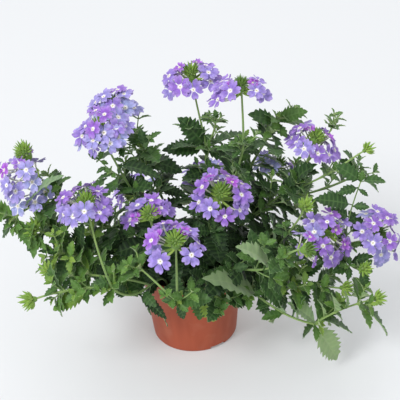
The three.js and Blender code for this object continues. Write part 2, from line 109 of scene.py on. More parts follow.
def new_material(name, **sockets):
    """A material whose one shader has these constant sockets."""
    material = bpy.data.materials.new(name)
    material.use_nodes = True
    shader = material.node_tree.nodes["Principled BSDF"]
    for socket, value in sockets.items():
        shader.inputs[socket.replace("_", " ")].default_value = value
    return material, shader


def add_node(material, kind, inputs=(), **settings):
    """Adds one node. inputs pairs a socket with a constant or with another node's output."""
    tree = material.node_tree
    node = tree.nodes.new(kind)
    for key, value in settings.items():
        setattr(node, key, value)
    for socket, value in dict(inputs).items():
        if isinstance(value, bpy.types.NodeSocket):
            tree.links.new(value, node.inputs[socket])
        else:
            node.inputs[socket].default_value = value
    return node


MIX_A, MIX_B, MIX_OUT = 6, 7, 2  # the colour sockets of a Mix node


def set_ramp(ramp, stops):
    """Gives a colour ramp its stops: (place, hex colour)."""
    elements = ramp.color_ramp.elements
    while len(elements) < len(stops):
        elements.new(0.5)
    for element, (place, colour) in zip(elements, stops):
        element.position = place
        element.color = linear(colour)


print("linear white and mid grey:", linear("#ffffff")[0], round(linear("#808080")[0], 3))

# %% [markdown]
# ## Leaf, stem and bud finishes
#
# A verbena leaf is dull, dark green and rough above, with sunken veins, and paler grey-green below, where
# the veins stand out. Young leaves at the tips of the shoots are bright yellow-green. Each mesh carries
# two numbers on every point for this: age, from 0 for young to 1 for old, and mark, which is 1 on a vein.
# On leaves deep in the bush the age is raised further, which is painted shade. A ramp over age gives the
# green, and mark lightens it. Short hairs all over give a little sheen, and some light passes through the
# thin blades. The grain stands for hairs and warts. Real ones are finer than it, so it is drawn as coarse as
# it needs to show.

# %% Leaf, stem and bud finishes
AGE_DRIFT = 0.4  # how far blotches move the skin along its ramp over age, from least to most
GRAIN_DEPTH = 0.3 * MM


def point_values(material):
    """The place, the age and the mark of each point, as outputs for other nodes."""
    place = add_node(material, "ShaderNodeTexCoord").outputs["Object"]
    age = add_node(material, "ShaderNodeAttribute", attribute_name="age").outputs["Fac"]
    mark = add_node(material, "ShaderNodeAttribute", attribute_name="mark").outputs["Fac"]
    return place, age, mark


def plant_finish(name, ages, vein, vein_share, blotch, grain_mm, bump, **sockets):
    """Green plant skin: a ramp over age, paler veins, blotches and a fine grain."""
    material, shader = new_material(name, **sockets)
    place, age, mark = point_values(material)
    cloud = add_node(material, "ShaderNodeTexNoise", {"Vector": place, "Scale": per_size(blotch)})
    stray = add_node(material, "ShaderNodeMath",
                     {0: cloud.outputs["Fac"], 1: AGE_DRIFT, 2: -AGE_DRIFT / 2}, operation="MULTIPLY_ADD")
    drift = add_node(material, "ShaderNodeMath", {0: age, 1: stray.outputs[0]}, operation="ADD")
    ramp = add_node(material, "ShaderNodeValToRGB", {"Fac": drift.outputs[0]})
    set_ramp(ramp, ages)
    share = add_node(material, "ShaderNodeMath", {0: mark, 1: vein_share}, operation="MULTIPLY")
    green = {0: share.outputs[0], MIX_A: ramp.outputs["Color"], MIX_B: linear(vein)}
    mixed = add_node(material, "ShaderNodeMix", green, data_type="RGBA")
    material.node_tree.links.new(mixed.outputs[MIX_OUT], shader.inputs["Base Color"])
    fine = {"Vector": place, "Scale": per_size(grain_mm), "Detail": 1.0}
    grain = add_node(material, "ShaderNodeTexNoise", fine)
    relief = add_node(material, "ShaderNodeBump",
                      {"Height": grain.outputs["Fac"], "Strength": bump, "Distance": GRAIN_DEPTH})
    material.node_tree.links.new(relief.outputs["Normal"], shader.inputs["Normal"])
    return material


THIN_BLADE = {"Sheen_Roughness": 0.5, "Subsurface_Weight": 0.15, "Subsurface_Scale": 0.0012,
              "Subsurface_Radius": (0.5, 1.0, 0.2)}  # some light passes through, most of it yellow-green
# Leaves deep in the bush reach the darkest stops through painted shade, which raises their age.
LEAF_UPPER = plant_finish(
    "verbena_leaf_upper_face", [(0.0, "#86a03f"), (0.3, "#4f732b"), (0.62, "#325226"), (1.0, "#1e341b")],
    vein="#6f9455", vein_share=0.35, blotch=9, grain_mm=1.1, bump=0.5,
    Roughness=0.5, Specular_IOR_Level=0.25, Sheen_Weight=0.05, **THIN_BLADE)
LEAF_UNDER = plant_finish(
    "verbena_leaf_underside", [(0.0, "#9ab264"), (0.4, "#84a06a"), (1.0, "#628058")],
    vein="#b4c592", vein_share=0.75, blotch=11, grain_mm=0.9, bump=0.4,
    Roughness=0.7, Specular_IOR_Level=0.3, Sheen_Weight=0.15, **THIN_BLADE)
LEAF_FELT = plant_finish(
    "felted_old_leaf_face", [(0.0, "#9aad74"), (0.5, "#869d6e"), (1.0, "#6a8560")],
    vein="#9fb483", vein_share=0.4, blotch=7, grain_mm=1.0, bump=0.6,
    Roughness=0.75, Specular_IOR_Level=0.2, Sheen_Weight=0.15, **THIN_BLADE)
STEM_SKIN = plant_finish(
    "hairy_green_stem", [(0.0, "#93ad5c"), (0.5, "#6f8f4a"), (1.0, "#4f6d3c")],
    vein="#a9b987", vein_share=0.5, blotch=14, grain_mm=0.7, bump=0.5,
    Roughness=0.65, Specular_IOR_Level=0.35, Sheen_Weight=0.25, Sheen_Roughness=0.4)
BUD_SKIN = plant_finish(
    "hairy_green_bud", [(0.0, "#a5bd5c"), (0.5, "#86a847"), (1.0, "#5c7f35")],
    vein="#c4d08a", vein_share=0.5, blotch=4, grain_mm=0.6, bump=0.4,
    Roughness=0.6, Specular_IOR_Level=0.35, Sheen_Weight=0.2, Sheen_Roughness=0.4,
    Subsurface_Weight=0.15, Subsurface_Scale=0.001, Subsurface_Radius=(0.6, 1.0, 0.3))
GREEN_SKINS = [LEAF_UPPER, LEAF_UNDER, STEM_SKIN, BUD_SKIN, LEAF_FELT]
UPPER, UNDER, STEM, BUD, FELT = range(5)
print("green finishes:", [m.name for m in GREEN_SKINS])

# %% [markdown]
# ## Petal finishes
#
# The petals are thin and velvety. Newly opened florets are magenta-violet, then they turn lavender, and
# the oldest fade to a pale blue-lilac. All have a small pale eye round a tiny olive throat, and the colour
# is drawn paler towards the rim of each petal. Here age runs from a new floret to an old one, and mark is
# the distance from the throat as a share of the floret's radius.

# %% Petal finishes
PALE_RIM = {"from": 0.45, "share": 0.42}  # where it starts, as a share of the radius, and how strong it gets
CLOUDS = {"size": 3.5, "gain": 1.1, "least": 0.45}  # mm, and how the clouds scale the colour


def petal_finish(name, ages, eye, pale, rim, **sockets):
    """Petal skin: a ramp over age, paler towards the rim, with a pale eye and faint clouds."""
    material, shader = new_material(name, **sockets)
    place, age, mark = point_values(material)
    ramp = add_node(material, "ShaderNodeValToRGB", {"Fac": age})
    set_ramp(ramp, ages)
    out = add_node(material, "ShaderNodeMapRange", {
        "Value": mark, "From Min": PALE_RIM["from"], "From Max": 1.0,
        "To Min": 0.0, "To Max": PALE_RIM["share"]})
    edged = add_node(material, "ShaderNodeMix", {
        0: out.outputs[0], MIX_A: ramp.outputs["Color"], MIX_B: linear(rim)}, data_type="RGBA")
    fade = add_node(material, "ShaderNodeMapRange", {
        "Value": mark, "From Min": eye[0], "From Max": eye[1], "To Min": 1.0, "To Max": 0.0})
    tone = add_node(material, "ShaderNodeMix", {
        0: fade.outputs[0], MIX_A: edged.outputs[MIX_OUT], MIX_B: linear(pale)}, data_type="RGBA")
    cloud = add_node(material, "ShaderNodeTexNoise", {"Vector": place, "Scale": per_size(CLOUDS["size"])})
    speck = add_node(material, "ShaderNodeMath", {
        0: cloud.outputs["Fac"], 1: CLOUDS["gain"], 2: CLOUDS["least"]}, operation="MULTIPLY_ADD")
    shade = add_node(material, "ShaderNodeVectorMath", {
        0: tone.outputs[MIX_OUT], "Scale": speck.outputs[0]}, operation="SCALE")
    material.node_tree.links.new(shade.outputs[0], shader.inputs["Base Color"])
    return material


VELVET = {"Roughness": 0.6, "Specular_IOR_Level": 0.3, "Sheen_Weight": 0.1, "Sheen_Roughness": 0.5,
          "Subsurface_Weight": 0.2, "Subsurface_Scale": 0.001, "Subsurface_Radius": (0.9, 0.6, 1.0)}
PETAL_FACE = petal_finish(
    "velvety_petal_face", [(0.0, "#9a46bb"), (0.3, "#8654b6"), (0.6, "#836bb9"), (1.0, "#949ccb")],
    eye=(0.11, 0.25), pale="#f2eee8", rim="#c8b5e0", **VELVET)
PETAL_BACK = petal_finish(
    "velvety_petal_back", [(0.0, "#a873bf"), (0.5, "#9a80c4"), (1.0, "#a7abd0")],
    eye=(0.0, 0.35), pale="#cfc8e2", rim="#b5a6d4", **VELVET)
COROLLA_TUBE, _ = new_material("corolla_tube", Base_Color=linear("#cfd0c4"), Roughness=0.6)
THROAT, _ = new_material("olive_throat", Base_Color=linear("#c4bc84"), Roughness=0.8)
VIOLET_SKINS = [PETAL_FACE, PETAL_BACK, COROLLA_TUBE, THROAT]
FACE, BACK, TUBE, EYE = range(4)
print("violet finishes:", [m.name for m in VIOLET_SKINS])

# %% [markdown]
# ## Meshes from surfaces
#
# A leafy stem is hundreds of small surfaces, but one piece. The surfaces are collected as arrays of points
# and faces, with a skin number for each face and the two tints for each point, and one mesh is made of them
# at the end. This is much quicker than joining hundreds of objects, and it gives the same result each run.

# %% The collector
class Bunch:
    """Surfaces in millimetres that become one mesh."""

    def __init__(self):
        self.points, self.faces, self.skins, self.ages, self.marks = [], [], [], [], []
        self.count = 0

    def add(self, points, faces, skin, age, mark=0.0):
        """faces has four columns, and -1 in the last one of a triangle."""
        size = len(points)
        self.points.append(points)
        self.faces.append(np.where(faces < 0, -1, faces + self.count))
        self.skins.append(np.broadcast_to(skin, len(faces)))
        self.ages.append(np.broadcast_to(age, size))
        self.marks.append(np.broadcast_to(mark, size))
        self.count += size

    def make(self, name, materials, crease=50):
        """The object, in metres. Edges sharper than crease degrees stay sharp."""
        faces = np.concatenate(self.faces)
        corners = faces[faces >= 0]
        sizes = np.where(faces[:, 3] < 0, 3, 4)
        mesh = bpy.data.meshes.new(name)
        mesh.vertices.add(self.count)
        mesh.vertices.foreach_set("co", (np.concatenate(self.points) * MM).ravel())
        mesh.loops.add(len(corners))
        mesh.loops.foreach_set("vertex_index", corners)
        mesh.polygons.add(len(faces))
        mesh.polygons.foreach_set("loop_start", np.concatenate([[0], np.cumsum(sizes)[:-1]]))
        mesh.polygons.foreach_set("material_index", np.concatenate(self.skins))
        for material in materials:
            mesh.materials.append(material)
        for label, values in (("age", self.ages), ("mark", self.marks)):
            layer = mesh.attributes.new(label, "FLOAT", "POINT")
            layer.data.foreach_set("value", np.clip(np.concatenate(values), 0, 1).astype(np.float32))
        mesh.update(calc_edges=True)
        mesh.shade_smooth()
        mesh.set_sharp_from_angle(angle=math.radians(crease))
        piece = bpy.data.objects.new(name, mesh)
        bpy.context.scene.collection.objects.link(piece)
        return piece


def dress(piece, node):
    """The piece stands for a construction node and rides with it."""
    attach(piece, "root")
    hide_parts(node)
    return piece


# %% [markdown]
# Nature strays a little from every rule, so sizes and turns are drawn at random. A draw here is worked out
# from two numbers: that of the leaf or floret, and one that tells its draws apart. So the order of the
# steps doesn't matter, and the plant comes out the same on every run.

# %% Directions and draws
HASH = {"first": 12.9898, "second": 78.233, "gain": 43758.5453}  # so uneven that like numbers draw unlike


def unit(vector):
    return vector / np.linalg.norm(vector)


def draw(a, b):
    """A number between 0 and 1 from two numbers, spread evenly."""
    wave = math.sin(a * HASH["first"] + b * HASH["second"]) * HASH["gain"]
    return wave - math.floor(wave)


def spread(a, b, low, high):
    return low + (high - low) * draw(a, b)


def stray_by(a, b, most):
    return spread(a, b, -most, most)


def bell(distance, breadth):
    """1 at no distance, and smoothly down to nothing about two breadths away."""
    return np.exp(-(distance / breadth) ** 2)


print("three draws:", [round(draw(1, b), 3) for b in range(3)])

# %% [markdown]
# Two kinds of surface are enough for the whole plant. A sheet is a thin blade: a grid of points on its
# face, another on its back, and a rim between them. A sweep is a round or square rod along a path, with
# rings of points and a cap at each end. Both are closed, as real leaves and stems are. Everything is placed
# by a frame: three axes and an origin.

# %% Sheets and sweeps
ASKEW = (0.31, 0.82, 0.48)  # a direction that no stem starts along, from which a sweep's sides are counted


@lru_cache(maxsize=None)
def sheet_faces(rows, columns):
    """Face quads, then back and rim quads, of a sheet whose face grid comes first and back grid second."""
    at = np.arange(rows * columns).reshape(rows, columns)
    back = at + rows * columns
    a, b, c, d = at[:-1, :-1], at[1:, :-1], at[1:, 1:], at[:-1, 1:]
    face = np.stack([a, b, c, d], -1).reshape(-1, 4)
    under = (np.stack([d, c, b, a], -1) + rows * columns).reshape(-1, 4)
    rims = [
        np.stack([back[:-1, 0], back[1:, 0], at[1:, 0], at[:-1, 0]], -1),
        np.stack([at[:-1, -1], at[1:, -1], back[1:, -1], back[:-1, -1]], -1),
        np.stack([at[0, :-1], at[0, 1:], back[0, 1:], back[0, :-1]], -1),
        np.stack([back[-1, :-1], back[-1, 1:], at[-1, 1:], at[-1, :-1]], -1),
    ]
    return face, np.concatenate([under, *rims])


@lru_cache(maxsize=None)
def sweep_faces(rings, sides):
    """Quads along the rings, and fans to the two end points, which come last."""
    k = np.arange(sides)
    after = (k + 1) % sides
    walls = [np.stack([r * sides + k, r * sides + after, (r + 1) * sides + after, (r + 1) * sides + k], -1)
             for r in range(rings - 1)]
    none = np.full(sides, -1)
    foot = np.stack([np.full(sides, rings * sides), after, k, none], -1)
    last = (rings - 1) * sides
    head = np.stack([np.full(sides, rings * sides + 1), last + k, last + after, none], -1)
    return np.concatenate([*walls, foot, head])


def sweep(path, radii, sides, square=0.0):
    """Points and faces of a rod along a path. square lifts every other side's corner, as on a square stem."""
    path = np.asarray(path, float)
    headings = np.gradient(path, axis=0)
    headings /= np.linalg.norm(headings, axis=1)[:, None]
    across = unit(np.cross(headings[0], ASKEW))
    turns = 2 * np.pi * np.arange(sides) / sides
    swell = 1 + square * np.cos(turns * 4)
    points = []
    for centre, heading, radius in zip(path, headings, radii):
        across = unit(across - heading * across.dot(heading))
        over = np.cross(heading, across)
        ring = np.outer(np.cos(turns) * swell, across) + np.outer(np.sin(turns) * swell, over)
        points.append(centre + radius * ring)
    points.append([path[0], path[-1]])
    return np.concatenate(points), sweep_faces(len(path), sides)


def frame_along(axis, origin):
    """Axes as columns, with Z along the axis, and the origin."""
    turn = Vector((0, 0, 1)).rotation_difference(Vector(axis)).to_matrix()
    return np.array(turn), np.asarray(origin, float)


def placed(points, place):
    axes, origin = place
    return points @ axes.T + origin


points, faces = sweep([(0, 0, 0), (0, 0, 10)], (1, 1), 8)
print("a rod of two rings:", len(points), "points,", len(faces), "faces")

# %% [markdown]
# ## How the plant grows
#
# The construction model grows each stem along a cubic curve, with two handles and an end, and hangs pairs
# of leaves, side shoots, flower heads and bud heads on it. The same table and rules are repeated here, so
# that every finer leaf lies where its plain one does. A shoot has its start, its curve and what it ends
# in. pairs are (place along the curve, leaf length, turn round the stem in degrees).

# %% The stems, in millimetres
def shoot(start, line, ends, pairs=(), florets=0, age="young", side=()):
    """start is a place in the soil for a stem, and a place along the parent's curve for a side shoot."""
    return {"start": start, "line": line, "ends": ends, "pairs": pairs, "florets": florets, "age": age,
            "side": side}


STEMS = {
    "left_tall": shoot((-10, 14), [(-12, 18, 140), (-42, 30, 180), (-69, 45, 244)], "head",
          pairs=[(0.46, 42, 20), (0.6, 40, 110), (0.76, 40, 30)], florets=7,
          side=[
              shoot(0.6, [(-38, 24, 186), (-40, 20, 196), (-40, 18, 207)], "leaves",
                    pairs=[(0.97, 34, 60)]),
          ]),
    "left_inner": shoot((-20, -4), [(-26, -4, 130), (-58, -2, 170), (-78, -20, 254)], "head",
          pairs=[(0.4, 42, 70), (0.58, 40, -20), (0.72, 30, 60)], florets=6),
    "centre_tall": shoot((4, 16), [(6, 18, 120), (22, 34, 150), (21, 38, 195)], "leaves",
          pairs=[(0.5, 40, 10), (0.72, 36, 100), (0.86, 34, 55), (0.98, 42, -10)],
          side=[
              shoot(1, [(20, 40, 215), (13, 44, 240), (11, 45, 274)], "head", florets=7),
              shoot(0.96, [(26, 34, 206), (31, 31, 214), (32, 29, 228)], "leaves",
                    pairs=[(0.97, 18, 40)]),
          ]),
    "right_tall": shoot((14, 8), [(16, 8, 130), (50, 6, 160), (57, 2, 215)], "leaves",
          pairs=[(0.48, 42, 60), (0.72, 40, -30), (0.95, 28, 50)],
          side=[
              shoot(1, [(58, 1, 235), (57, 0, 255), (57, 0, 280)], "head", florets=6),
          ]),
    "far_left": shoot((-30, -6), [(-60, -8, 150), (-130, -24, 160), (-148, -26, 236)], "head",
          pairs=[(0.38, 42, 10), (0.56, 42, 90), (0.7, 40, 5)], florets=7, age="old",
          side=[
              shoot(0.6, [(-114, -30, 146), (-132, -42, 150), (-145, -50, 166)], "buds",
                    pairs=[(0.45, 32, 20), (0.85, 36, 70)]),
              shoot(0.7, [(-134, -24, 182), (-150, -36, 184), (-163, -44, 176)], "leaves",
                    pairs=[(0.97, 34, 45)]),
          ]),
    "low_left": shoot((-24, -26), [(-28, -42, 124), (-48, -72, 74), (-75, -86, 118)], "leaves",
          pairs=[(0.62, 36, 10), (0.97, 34, 80)],
          side=[
              shoot(1, [(-82, -84, 140), (-88, -76, 165), (-91, -71, 206)], "head", florets=6),
              shoot(0.5, [(-52, -66, 112), (-76, -74, 122), (-96, -76, 128)], "leaves",
                    pairs=[(0.97, 32, 30)]),
              shoot(0.98, [(-95, -92, 128), (-125, -96, 126), (-149, -100, 120)], "buds",
                    pairs=[(0.32, 34, 10), (0.62, 30, 90)],
                    side=[
                        shoot(0.6, [(-124, -90, 130), (-130, -82, 132), (-134, -77, 136)], "buds"),
                    ]),
          ]),
    "front_left": shoot((-14, -14), [(-18, -22, 130), (-34, -52, 135), (-35, -65, 185)], "head",
          pairs=[(0.36, 44, 50), (0.55, 42, -30), (0.72, 32, 60)], florets=6),
    "front": shoot((-8, -30), [(-10, -50, 125), (-14, -90, 92), (-14, -108, 116)], "leaves",
          pairs=[(0.55, 36, 0), (0.97, 30, 0)],
          side=[
              shoot(1, [(-13, -110, 140), (-12, -116, 165), (-11, -120, 191)], "head", florets=6),
              shoot(0.96, [(-24, -104, 122), (-36, -98, 136), (-46, -94, 144)], "leaves",
                    pairs=[(0.97, 26, 0)]),
          ]),
    "centre": shoot((6, -8), [(8, -12, 120), (26, -36, 140), (32, -45, 192)], "head",
          pairs=[(0.36, 46, 20), (0.56, 42, 110), (0.74, 34, 30)], florets=7),
    "right_high": shoot((26, 12), [(40, 14, 140), (108, 4, 130), (129, 20, 208)], "head",
          pairs=[(0.4, 44, 0), (0.55, 42, 90), (0.69, 38, 0)], florets=6,
          side=[
              shoot(0.68, [(130, 3, 165), (158, 6, 188), (177, 10, 197)], "buds",
                    pairs=[(0.4, 28, 10)]),
              shoot(0.72, [(122, 32, 176), (140, 44, 186), (149, 50, 202)], "leaves",
                    pairs=[(0.97, 24, 60)]),
          ]),
    "right": shoot((24, -8), [(40, -14, 130), (100, -34, 96), (138, -45, 142)], "head",
          pairs=[(0.38, 44, 10), (0.56, 42, 95), (0.73, 34, 10)], florets=7,
          side=[
              shoot(0.6, [(92, -34, 132), (104, -46, 150), (111, -50, 173)], "buds",
                    pairs=[(0.4, 20, 30)]),
          ]),
    "right_front": shoot((12, -20), [(18, -44, 130), (62, -84, 108), (86, -93, 145)], "leaves",
          pairs=[(0.45, 42, 0), (0.7, 42, 90), (0.95, 28, 10)],
          side=[
              shoot(1, [(92, -94, 154), (99, -96, 158), (108, -99, 158)], "head", florets=6),
          ]),
    "far_right": shoot((32, 2), [(58, 0, 136), (138, -20, 84), (186, -30, 125)], "head",
          pairs=[(0.36, 42, 0), (0.56, 42, 85), (0.74, 36, 0)], florets=6,
          side=[
              shoot(0.75, [(152, -38, 96), (160, -58, 100), (165, -70, 112)], "buds",
                    pairs=[(0.5, 26, 20)]),
          ]),
    "back_right": shoot((16, 24), [(22, 32, 140), (80, 52, 110), (95, 62, 157)], "head",
          pairs=[(0.4, 42, 20), (0.66, 42, 100)], florets=6),
    "low_right": shoot((26, -24), [(30, -34, 128), (62, -78, 66), (119, -90, 64)], "leaves",
          pairs=[(0.5, 36, 5), (0.98, 44, -15)],
          side=[
              shoot(0.98, [(134, -84, 74), (154, -80, 78), (177, -78, 82)], "buds",
                    pairs=[(0.35, 30, 80), (0.72, 34, -15)]),
              shoot(0.5, [(66, -64, 88), (82, -68, 86), (96, -68, 94)], "leaves",
                    pairs=[(0.5, 34, 60), (0.97, 32, 0)]),
          ]),
    "front_low": shoot((4, -38), [(6, -52, 106), (16, -70, 98), (27, -80, 92)], "leaves",
          pairs=[(0.55, 30, 60), (0.95, 34, 0)]),
    "side_low": shoot((-34, -16), [(-44, -28, 110), (-56, -44, 104), (-64, -52, 100)], "leaves",
          pairs=[(0.5, 30, 60), (0.95, 30, 0)]),
    "back_left": shoot((-20, 26), [(-24, 40, 140), (-50, 92, 96), (-62, 112, 100)], "head",
          pairs=[(0.6, 40, 30)], florets=6),
    "back": shoot((2, 32), [(4, 52, 140), (16, 100, 96), (22, 128, 108)], "head",
          pairs=[(0.42, 38, 20), (0.7, 34, 100)], florets=6),
    "low_back_left": shoot((-34, 8), [(-56, 16, 126), (-96, 40, 110), (-130, 52, 104)], "buds",
          pairs=[(0.42, 42, 0), (0.7, 40, 90)]),
    "low_back_right": shoot((36, 14), [(50, 30, 150), (122, 58, 104), (178, 46, 150)], "leaves",
          pairs=[(0.4, 42, 5), (0.6, 42, 85), (0.8, 40, 5), (0.98, 32, 90)]),
    "left_spread": shoot((-40, -4), [(-54, -14, 124), (-92, -50, 126), (-123, -60, 144)], "leaves",
          pairs=[(0.4, 42, 10), (0.62, 42, 95), (0.82, 38, 5), (0.98, 30, 90)]),
    "right_spread": shoot((36, -12), [(44, -18, 128), (96, -50, 80), (147, -64, 86)], "buds",
          pairs=[(0.4, 42, 5), (0.62, 42, 90), (0.82, 36, 0)]),
    "back_tall": shoot((25, 28), [(31, 30, 130), (62, 34, 160), (93, 41, 220)], "leaves",
          pairs=[(0.52, 42, 0), (0.7, 42, 90), (0.85, 42, 10), (0.98, 38, 95)]),
}
SOIL_TOP, HOLE_DEPTH = 76, 9.5  # the level of the compost, and how deep each stem stands in it
MAIN_STEM = {"radius": 1.5, "steps": 5}  # the plain solid follows the curve in so many straight steps
SIDE_STEM = {"radius": 1.3, "steps": 3}
PHASE = {"stem": 40, "shoot": 31}  # degrees by which tufts are turned, from stem to stem and shoot to shoot
print("stems:", len(STEMS), "of which in flower:", sum("head" in str(s) for s in STEMS.values()))

# %% [markdown]
# A shoot's curve leaves its start towards the first handle and comes to its end from the second. Following
# every shoot, and all that it carries, gives the lists of rods, leaves, tufts and heads that are grown
# below. Shoots and tufts are numbered on the way, in the order that the construction model has too.

# %% Following a stem
def curve_point(points, t):
    a, b, c, d = points
    s = 1 - t
    return a * s ** 3 + 3 * b * s * s * t + 3 * c * s * t * t + d * t ** 3


def curve_heading(points, t):
    a, b, c, d = points
    s = 1 - t
    return unit(3 * (b - a) * s * s + 6 * (c - b) * s * t + 3 * (d - c) * t * t)


def follow(branch, start, form, plan, depth=0):
    """Lists the rods, tufts, heads and leaves of a shoot and of all that it carries."""
    points = [start] + [np.array(point, float) for point in branch["line"]]
    rod = {"points": points, "radius": form["radius"], "depth": depth, "ends": branch["ends"], "carried": []}
    plan["rods"].append(rod)
    plan["green"] += 1
    end = points[-1]
    axis = unit(end - curve_point(points, 1 - 1 / form["steps"]))
    phase = plan["phase"] + PHASE["shoot"] * plan["green"]
    if branch["ends"] != "leaves":
        plan["tufts"].append({"axis": axis, "end": end, "phase": phase, "kind": branch["ends"]})
        plan["green"] += 1
    if branch["ends"] == "head":
        plan["heads"].append({"axis": axis, "end": end, "phase": phase, "florets": branch["florets"],
                              "form": branch["age"]})
    for at, length, turn in branch["pairs"]:
        for half in (0, 180):
            plan["leaves"].append({"origin": curve_point(points, at), "along": curve_heading(points, at),
                                   "length": length, "turn": turn + half, "at": at, "depth": depth})
        rod["carried"].append((at, length, turn))
    for twig in branch["side"]:
        follow(twig, curve_point(points, twig["start"]), SIDE_STEM, plan, depth + 1)


PLANS = {}
for index, (name, stem) in enumerate(STEMS.items()):
    plan = {"phase": PHASE["stem"] * index, "green": 0, "rods": [], "tufts": [], "heads": [], "leaves": []}
    root = np.array([*stem["start"], SOIL_TOP - HOLE_DEPTH], float)
    follow(stem, root, MAIN_STEM, plan)
    PLANS[name] = plan
print("leaves to grow:", sum(len(plan["leaves"]) for plan in PLANS.values()),
      "heads:", sum(len(plan["heads"]) for plan in PLANS.values()))


# %% [markdown]
# ## One leaf
#
# A leaf could be a picture on a card, but this one is a real blade. It has a short stalk, then an egg-shaped
# outline cut into teeth that point to the tip. The grid runs along the midrib, with three rows of points
# to a tooth, and its columns lean forward, so that one row falls along each side vein. The blade is raised
# between the veins and grooved along them, the halves fold up from the midrib, and the tip droops. On the
# underside the midrib and side veins stand out as ribs. Small leaves have fewer teeth and fewer columns.

# %% The leaf
LEAF = {"half_width": 0.31, "droop": 0.3, "fold": 0.22}  # shares of the leaf's length
LARGE = 19  # mm; a leaf that is longer has more columns of points
TEETH = [(30, 8), (LARGE, 5), (11, 4), (0, 3)]  # a leaf over so many mm long has so many teeth a side
COLUMNS = {"large": (-1, -0.6, -0.13, 0, 0.13, 0.6, 1), "small": (-1, -0.5, 0, 0.5, 1)}
TOOTH = {"steps": (0.0, 0.4, 0.72), "tip": 0.72, "depth": 0.31, "lean": 0.4}
STALK = {"share": 0.13, "half_width": 0.75}
BLADE = {"thickness": 0.35, "quilt": 0.055, "rib": 0.7, "side_rib": 0.3, "ripple": 0.06, "waves": 2.4,
         "narrowing": (0.45, 0.8), "least": 0.12, "fold": (0.6, 1.8)}
# Breadths of veins: side ones in shares of the way from one to the next, the middle one's in half widths.
# side_mark is how strongly side veins are tinted against the midrib.
VEIN = {"side": 0.13, "groove": 0.2, "rib": 0.07, "midrib": 0.05, "side_mark": 0.7}


def leaf_grid(length):
    """The teeth on each side of a leaf, and its columns of points from margin to margin."""
    teeth = next(teeth for over, teeth in TEETH if length > over)
    return teeth, np.array(COLUMNS["large" if length > LARGE else "small"])


def leaf_rows(length, half_width, teeth):
    """Each row's place, half width, share of the way up the blade, and distance from a side vein."""
    places = np.array([(i + step) / teeth for i in range(teeth) for step in TOOTH["steps"]] + [1.0])
    rise, fall = BLADE["narrowing"]
    peak = rise / (rise + fall)
    outline = (places / peak) ** rise * ((1 - places) / (1 - peak)) ** fall
    into = (places * teeth) % 1.0
    cut = np.where(into < TOOTH["tip"], 1 - into / TOOTH["tip"], (into - TOOTH["tip"]) / (1 - TOOTH["tip"]))
    widths = np.maximum(half_width * outline * (1 - TOOTH["depth"] * cut), BLADE["least"])
    widths[0] = STALK["half_width"]
    stalk = STALK["share"] * length
    from_vein = np.abs(into - TOOTH["tip"])
    blade = (stalk + places * (length - stalk), widths, places, np.minimum(from_vein, 1 - from_vein))
    foot = ((0, 0.5 * stalk), (STALK["half_width"], STALK["half_width"]), (0, 0), (0.5, 0.5))
    return [np.concatenate(both)[:, None] for both in zip(foot, blade)]


def leaf_surface(length, number, width=1.0, curl=1.0):
    """Points, veins and faces of a leaf in its own frame: X to the tip, Z out of its upper face."""
    teeth, columns = leaf_grid(length)
    half_width = LEAF["half_width"] * length * width
    along, widths, share, from_vein = leaf_rows(length, half_width, teeth)
    v = columns[None, :]
    y = widths * v
    x = along + TOOTH["lean"] * np.abs(y) * (share > 0) * (1 - share ** 4)
    fold = LEAF["fold"] * spread(number, 31, *BLADE["fold"])
    z = fold * np.abs(y) - LEAF["droop"] * curl * x * x / length
    body = np.minimum(np.abs(v) / 0.5, 1) * (1 - np.abs(v) ** 4)
    z = z + BLADE["quilt"] * widths * (1 - bell(from_vein, VEIN["groove"])) * body
    wave = np.sin(BLADE["waves"] * np.pi * share * teeth / 2 + number)
    z = z + BLADE["ripple"] * half_width * wave * v ** 2 * np.sign(v + 0.01)
    face = np.stack([x, y, z], -1).reshape(-1, 3)
    vein = bell(from_vein, VEIN["side"]) * (1 - np.abs(v) ** 3)
    rib = BLADE["rib"] * bell(v, VEIN["rib"]) * (1.1 - share)
    depth = BLADE["thickness"] + rib + BLADE["side_rib"] * vein * (np.abs(v) > 0.02)
    back = face - np.outer(depth.ravel(), (0, 0, 1))
    midrib = bell(v, VEIN["midrib"]) * np.ones_like(vein)
    marks = np.tile(np.maximum(VEIN["side_mark"] * vein, midrib).ravel(), 2)
    return np.concatenate([face, back]), marks, sheet_faces(len(along), len(columns))


for size in (40, 24, 14, 8):
    points, marks, faces = leaf_surface(size, 1)
    print("a leaf of", size, "mm:", leaf_grid(size)[0], "teeth a side,", sum(len(f) for f in faces), "quads")

# %% [markdown]
# Opposite leaves stand out from the stem and rise a little, and each turns its upper face to the light. So
# a leaf's frame is worked out from the stem's direction there, the turn round it and the lift, and the face
# is then rolled outward, since light reaches a bush from outside.

# %% Placing a leaf
OUTWARD = 0.6  # how far a leaf's face turns to the stem's tip, where 1 is as far as to the sky
MIDDLE = 20  # mm; faces turn away less where a leaf starts about so near to the plant's middle


def leaf_frame(origin, along, turn, lift):
    """The leaf's own frame. Its upper face turns to the sky and a little to the stem's tip."""
    up = np.array((0.0, 0.0, 1.0))
    across = unit(np.cross(along, up))
    over = unit(np.cross(across, along))
    ahead = across * math.cos(turn) + over * math.sin(turn)
    ahead = unit(ahead * math.cos(lift) + along * math.sin(lift))
    face = up + OUTWARD * along
    face = unit(face - ahead * face.dot(ahead))
    side = np.cross(face, ahead)
    return np.stack([ahead, side, face], 1), origin


def turned_out(place, share):
    """The leaf's frame, rolled about its midrib so that its face turns away from the plant's middle."""
    axes, origin = place
    ahead, _, face = axes.T
    away = np.array((origin[0], origin[1], 0.0)) / (math.hypot(origin[0], origin[1]) + MIDDLE)
    face = face + share * away
    face = unit(face - ahead * face.dot(ahead))
    return np.stack([ahead, np.cross(face, ahead), face], 1), origin


leaning = leaf_frame(np.zeros(3), np.array((0.6, 0.0, 0.8)), 0, 0)
print("a leaf on a leaning stem points along", leaning[0][:, 0].round(2))

